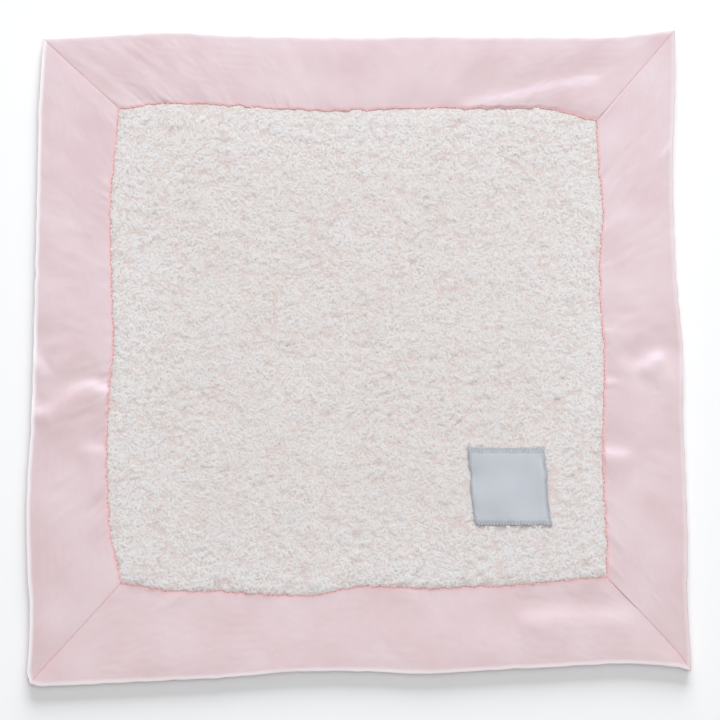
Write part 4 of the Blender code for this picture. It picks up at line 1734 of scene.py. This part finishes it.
class LOVEY_OT_stage(Operator):
    """Make the pale floor, the soft light and the camera"""

    bl_idname = "lovey.stage"
    bl_label = "Stage"

    def execute(self, context):
        stage, satin = context.scene.lovey_stage, context.scene.lovey_satin
        bpy.ops.mesh.primitive_plane_add(size=8)
        floor = context.object
        floor.name = "floor"
        floor.data.materials.append(floor_finish(stage))
        self.lamp("window", stage.key, stage.key_place, stage.key_size)
        self.lamp("top_light", stage.top, stage.top_place, stage.top_size)
        glint = self.lamp("glint", stage.glint, stage.glint_place, stage.glint_size)
        glint.visible_diffuse = False
        glint.data.color = (0.50, 0.76, 1.0)
        world = bpy.data.worlds.new("room")
        world.use_nodes = True
        tree = world.node_tree
        background = tree.nodes["Background"]
        background.inputs["Color"].default_value = (1, 1, 1, 1)
        rays = put(tree, "ShaderNodeLightPath").outputs
        seen = rays["Is Camera Ray"]
        for name in ("Is Glossy Ray", "Is Transmission Ray"):
            seen = maths(tree, "MAXIMUM", seen, rays[name])
        strength = put(tree, "ShaderNodeMapRange", {"Value": seen, "To Min": stage.fill, "To Max": 1.0})
        tree.links.new(strength.outputs["Result"], background.inputs["Strength"])
        context.scene.world = world
        view = bpy.data.cameras.new("overhead")
        view.lens = view.sensor_width * stage.distance / stage.view_width
        camera = bpy.data.objects.new("overhead", view)
        camera.location = (*stage.view_at, satin.hem_height + stage.distance)
        context.scene.collection.objects.link(camera)
        context.scene.camera = camera
        context.scene.view_settings.view_transform = "Standard"
        return {"FINISHED"}

    def lamp(self, name, power, place, size):
        """A soft, slightly cool light, aimed at the blanket."""
        lamp = bpy.data.lights.new(name, "AREA")
        lamp.shape = "RECTANGLE"
        lamp.size, lamp.size_y = size
        lamp.energy = power
        lamp.color = (0.97, 0.985, 1.0)
        held = bpy.data.objects.new(name, lamp)
        held.location = place
        held.rotation_euler = (-held.location).to_track_quat("-Z", "Y").to_euler()
        bpy.context.scene.collection.objects.link(held)
        return held


STEPS = (
    LOVEY_OT_stage,
    LOVEY_OT_wadding,
    LOVEY_OT_border,
    LOVEY_OT_back,
    LOVEY_OT_plush,
    LOVEY_OT_label,
    LOVEY_OT_stitches,
)


class LOVEY_PT_panel(Panel):
    """The lovey's pieces and sizes in the sidebar"""

    bl_idname = "LOVEY_PT_panel"
    bl_label = "Comfort Blanket Lovey"
    bl_space_type = "VIEW_3D"
    bl_region_type = "UI"
    bl_category = "Lovey"

    def draw(self, context):
        for step in STEPS:
            self.layout.operator(step.bl_idname)
        for name in SHEETS:
            group = getattr(context.scene, name)
            box = self.layout.box()
            for prop in group.bl_rna.properties:
                if prop.identifier not in ("rna_type", "name"):
                    box.prop(group, prop.identifier)


GROUPS = (LoveySatin, LoveyPlush, LoveyLabel, LoveyStage)
CLASSES = (*GROUPS, *STEPS, LOVEY_PT_panel)


def register():
    for each in CLASSES:
        bpy.utils.register_class(each)
    for name, group in zip(SHEETS, GROUPS):
        setattr(bpy.types.Scene, name, PointerProperty(type=group))


def unregister():
    for name in SHEETS:
        delattr(bpy.types.Scene, name)
    for each in reversed(CLASSES):
        bpy.utils.unregister_class(each)


def main():
    register()
    for step in STEPS:
        getattr(bpy.ops.lovey, step.bl_idname.split(".")[1])()


if __name__ == "__main__":
    main()
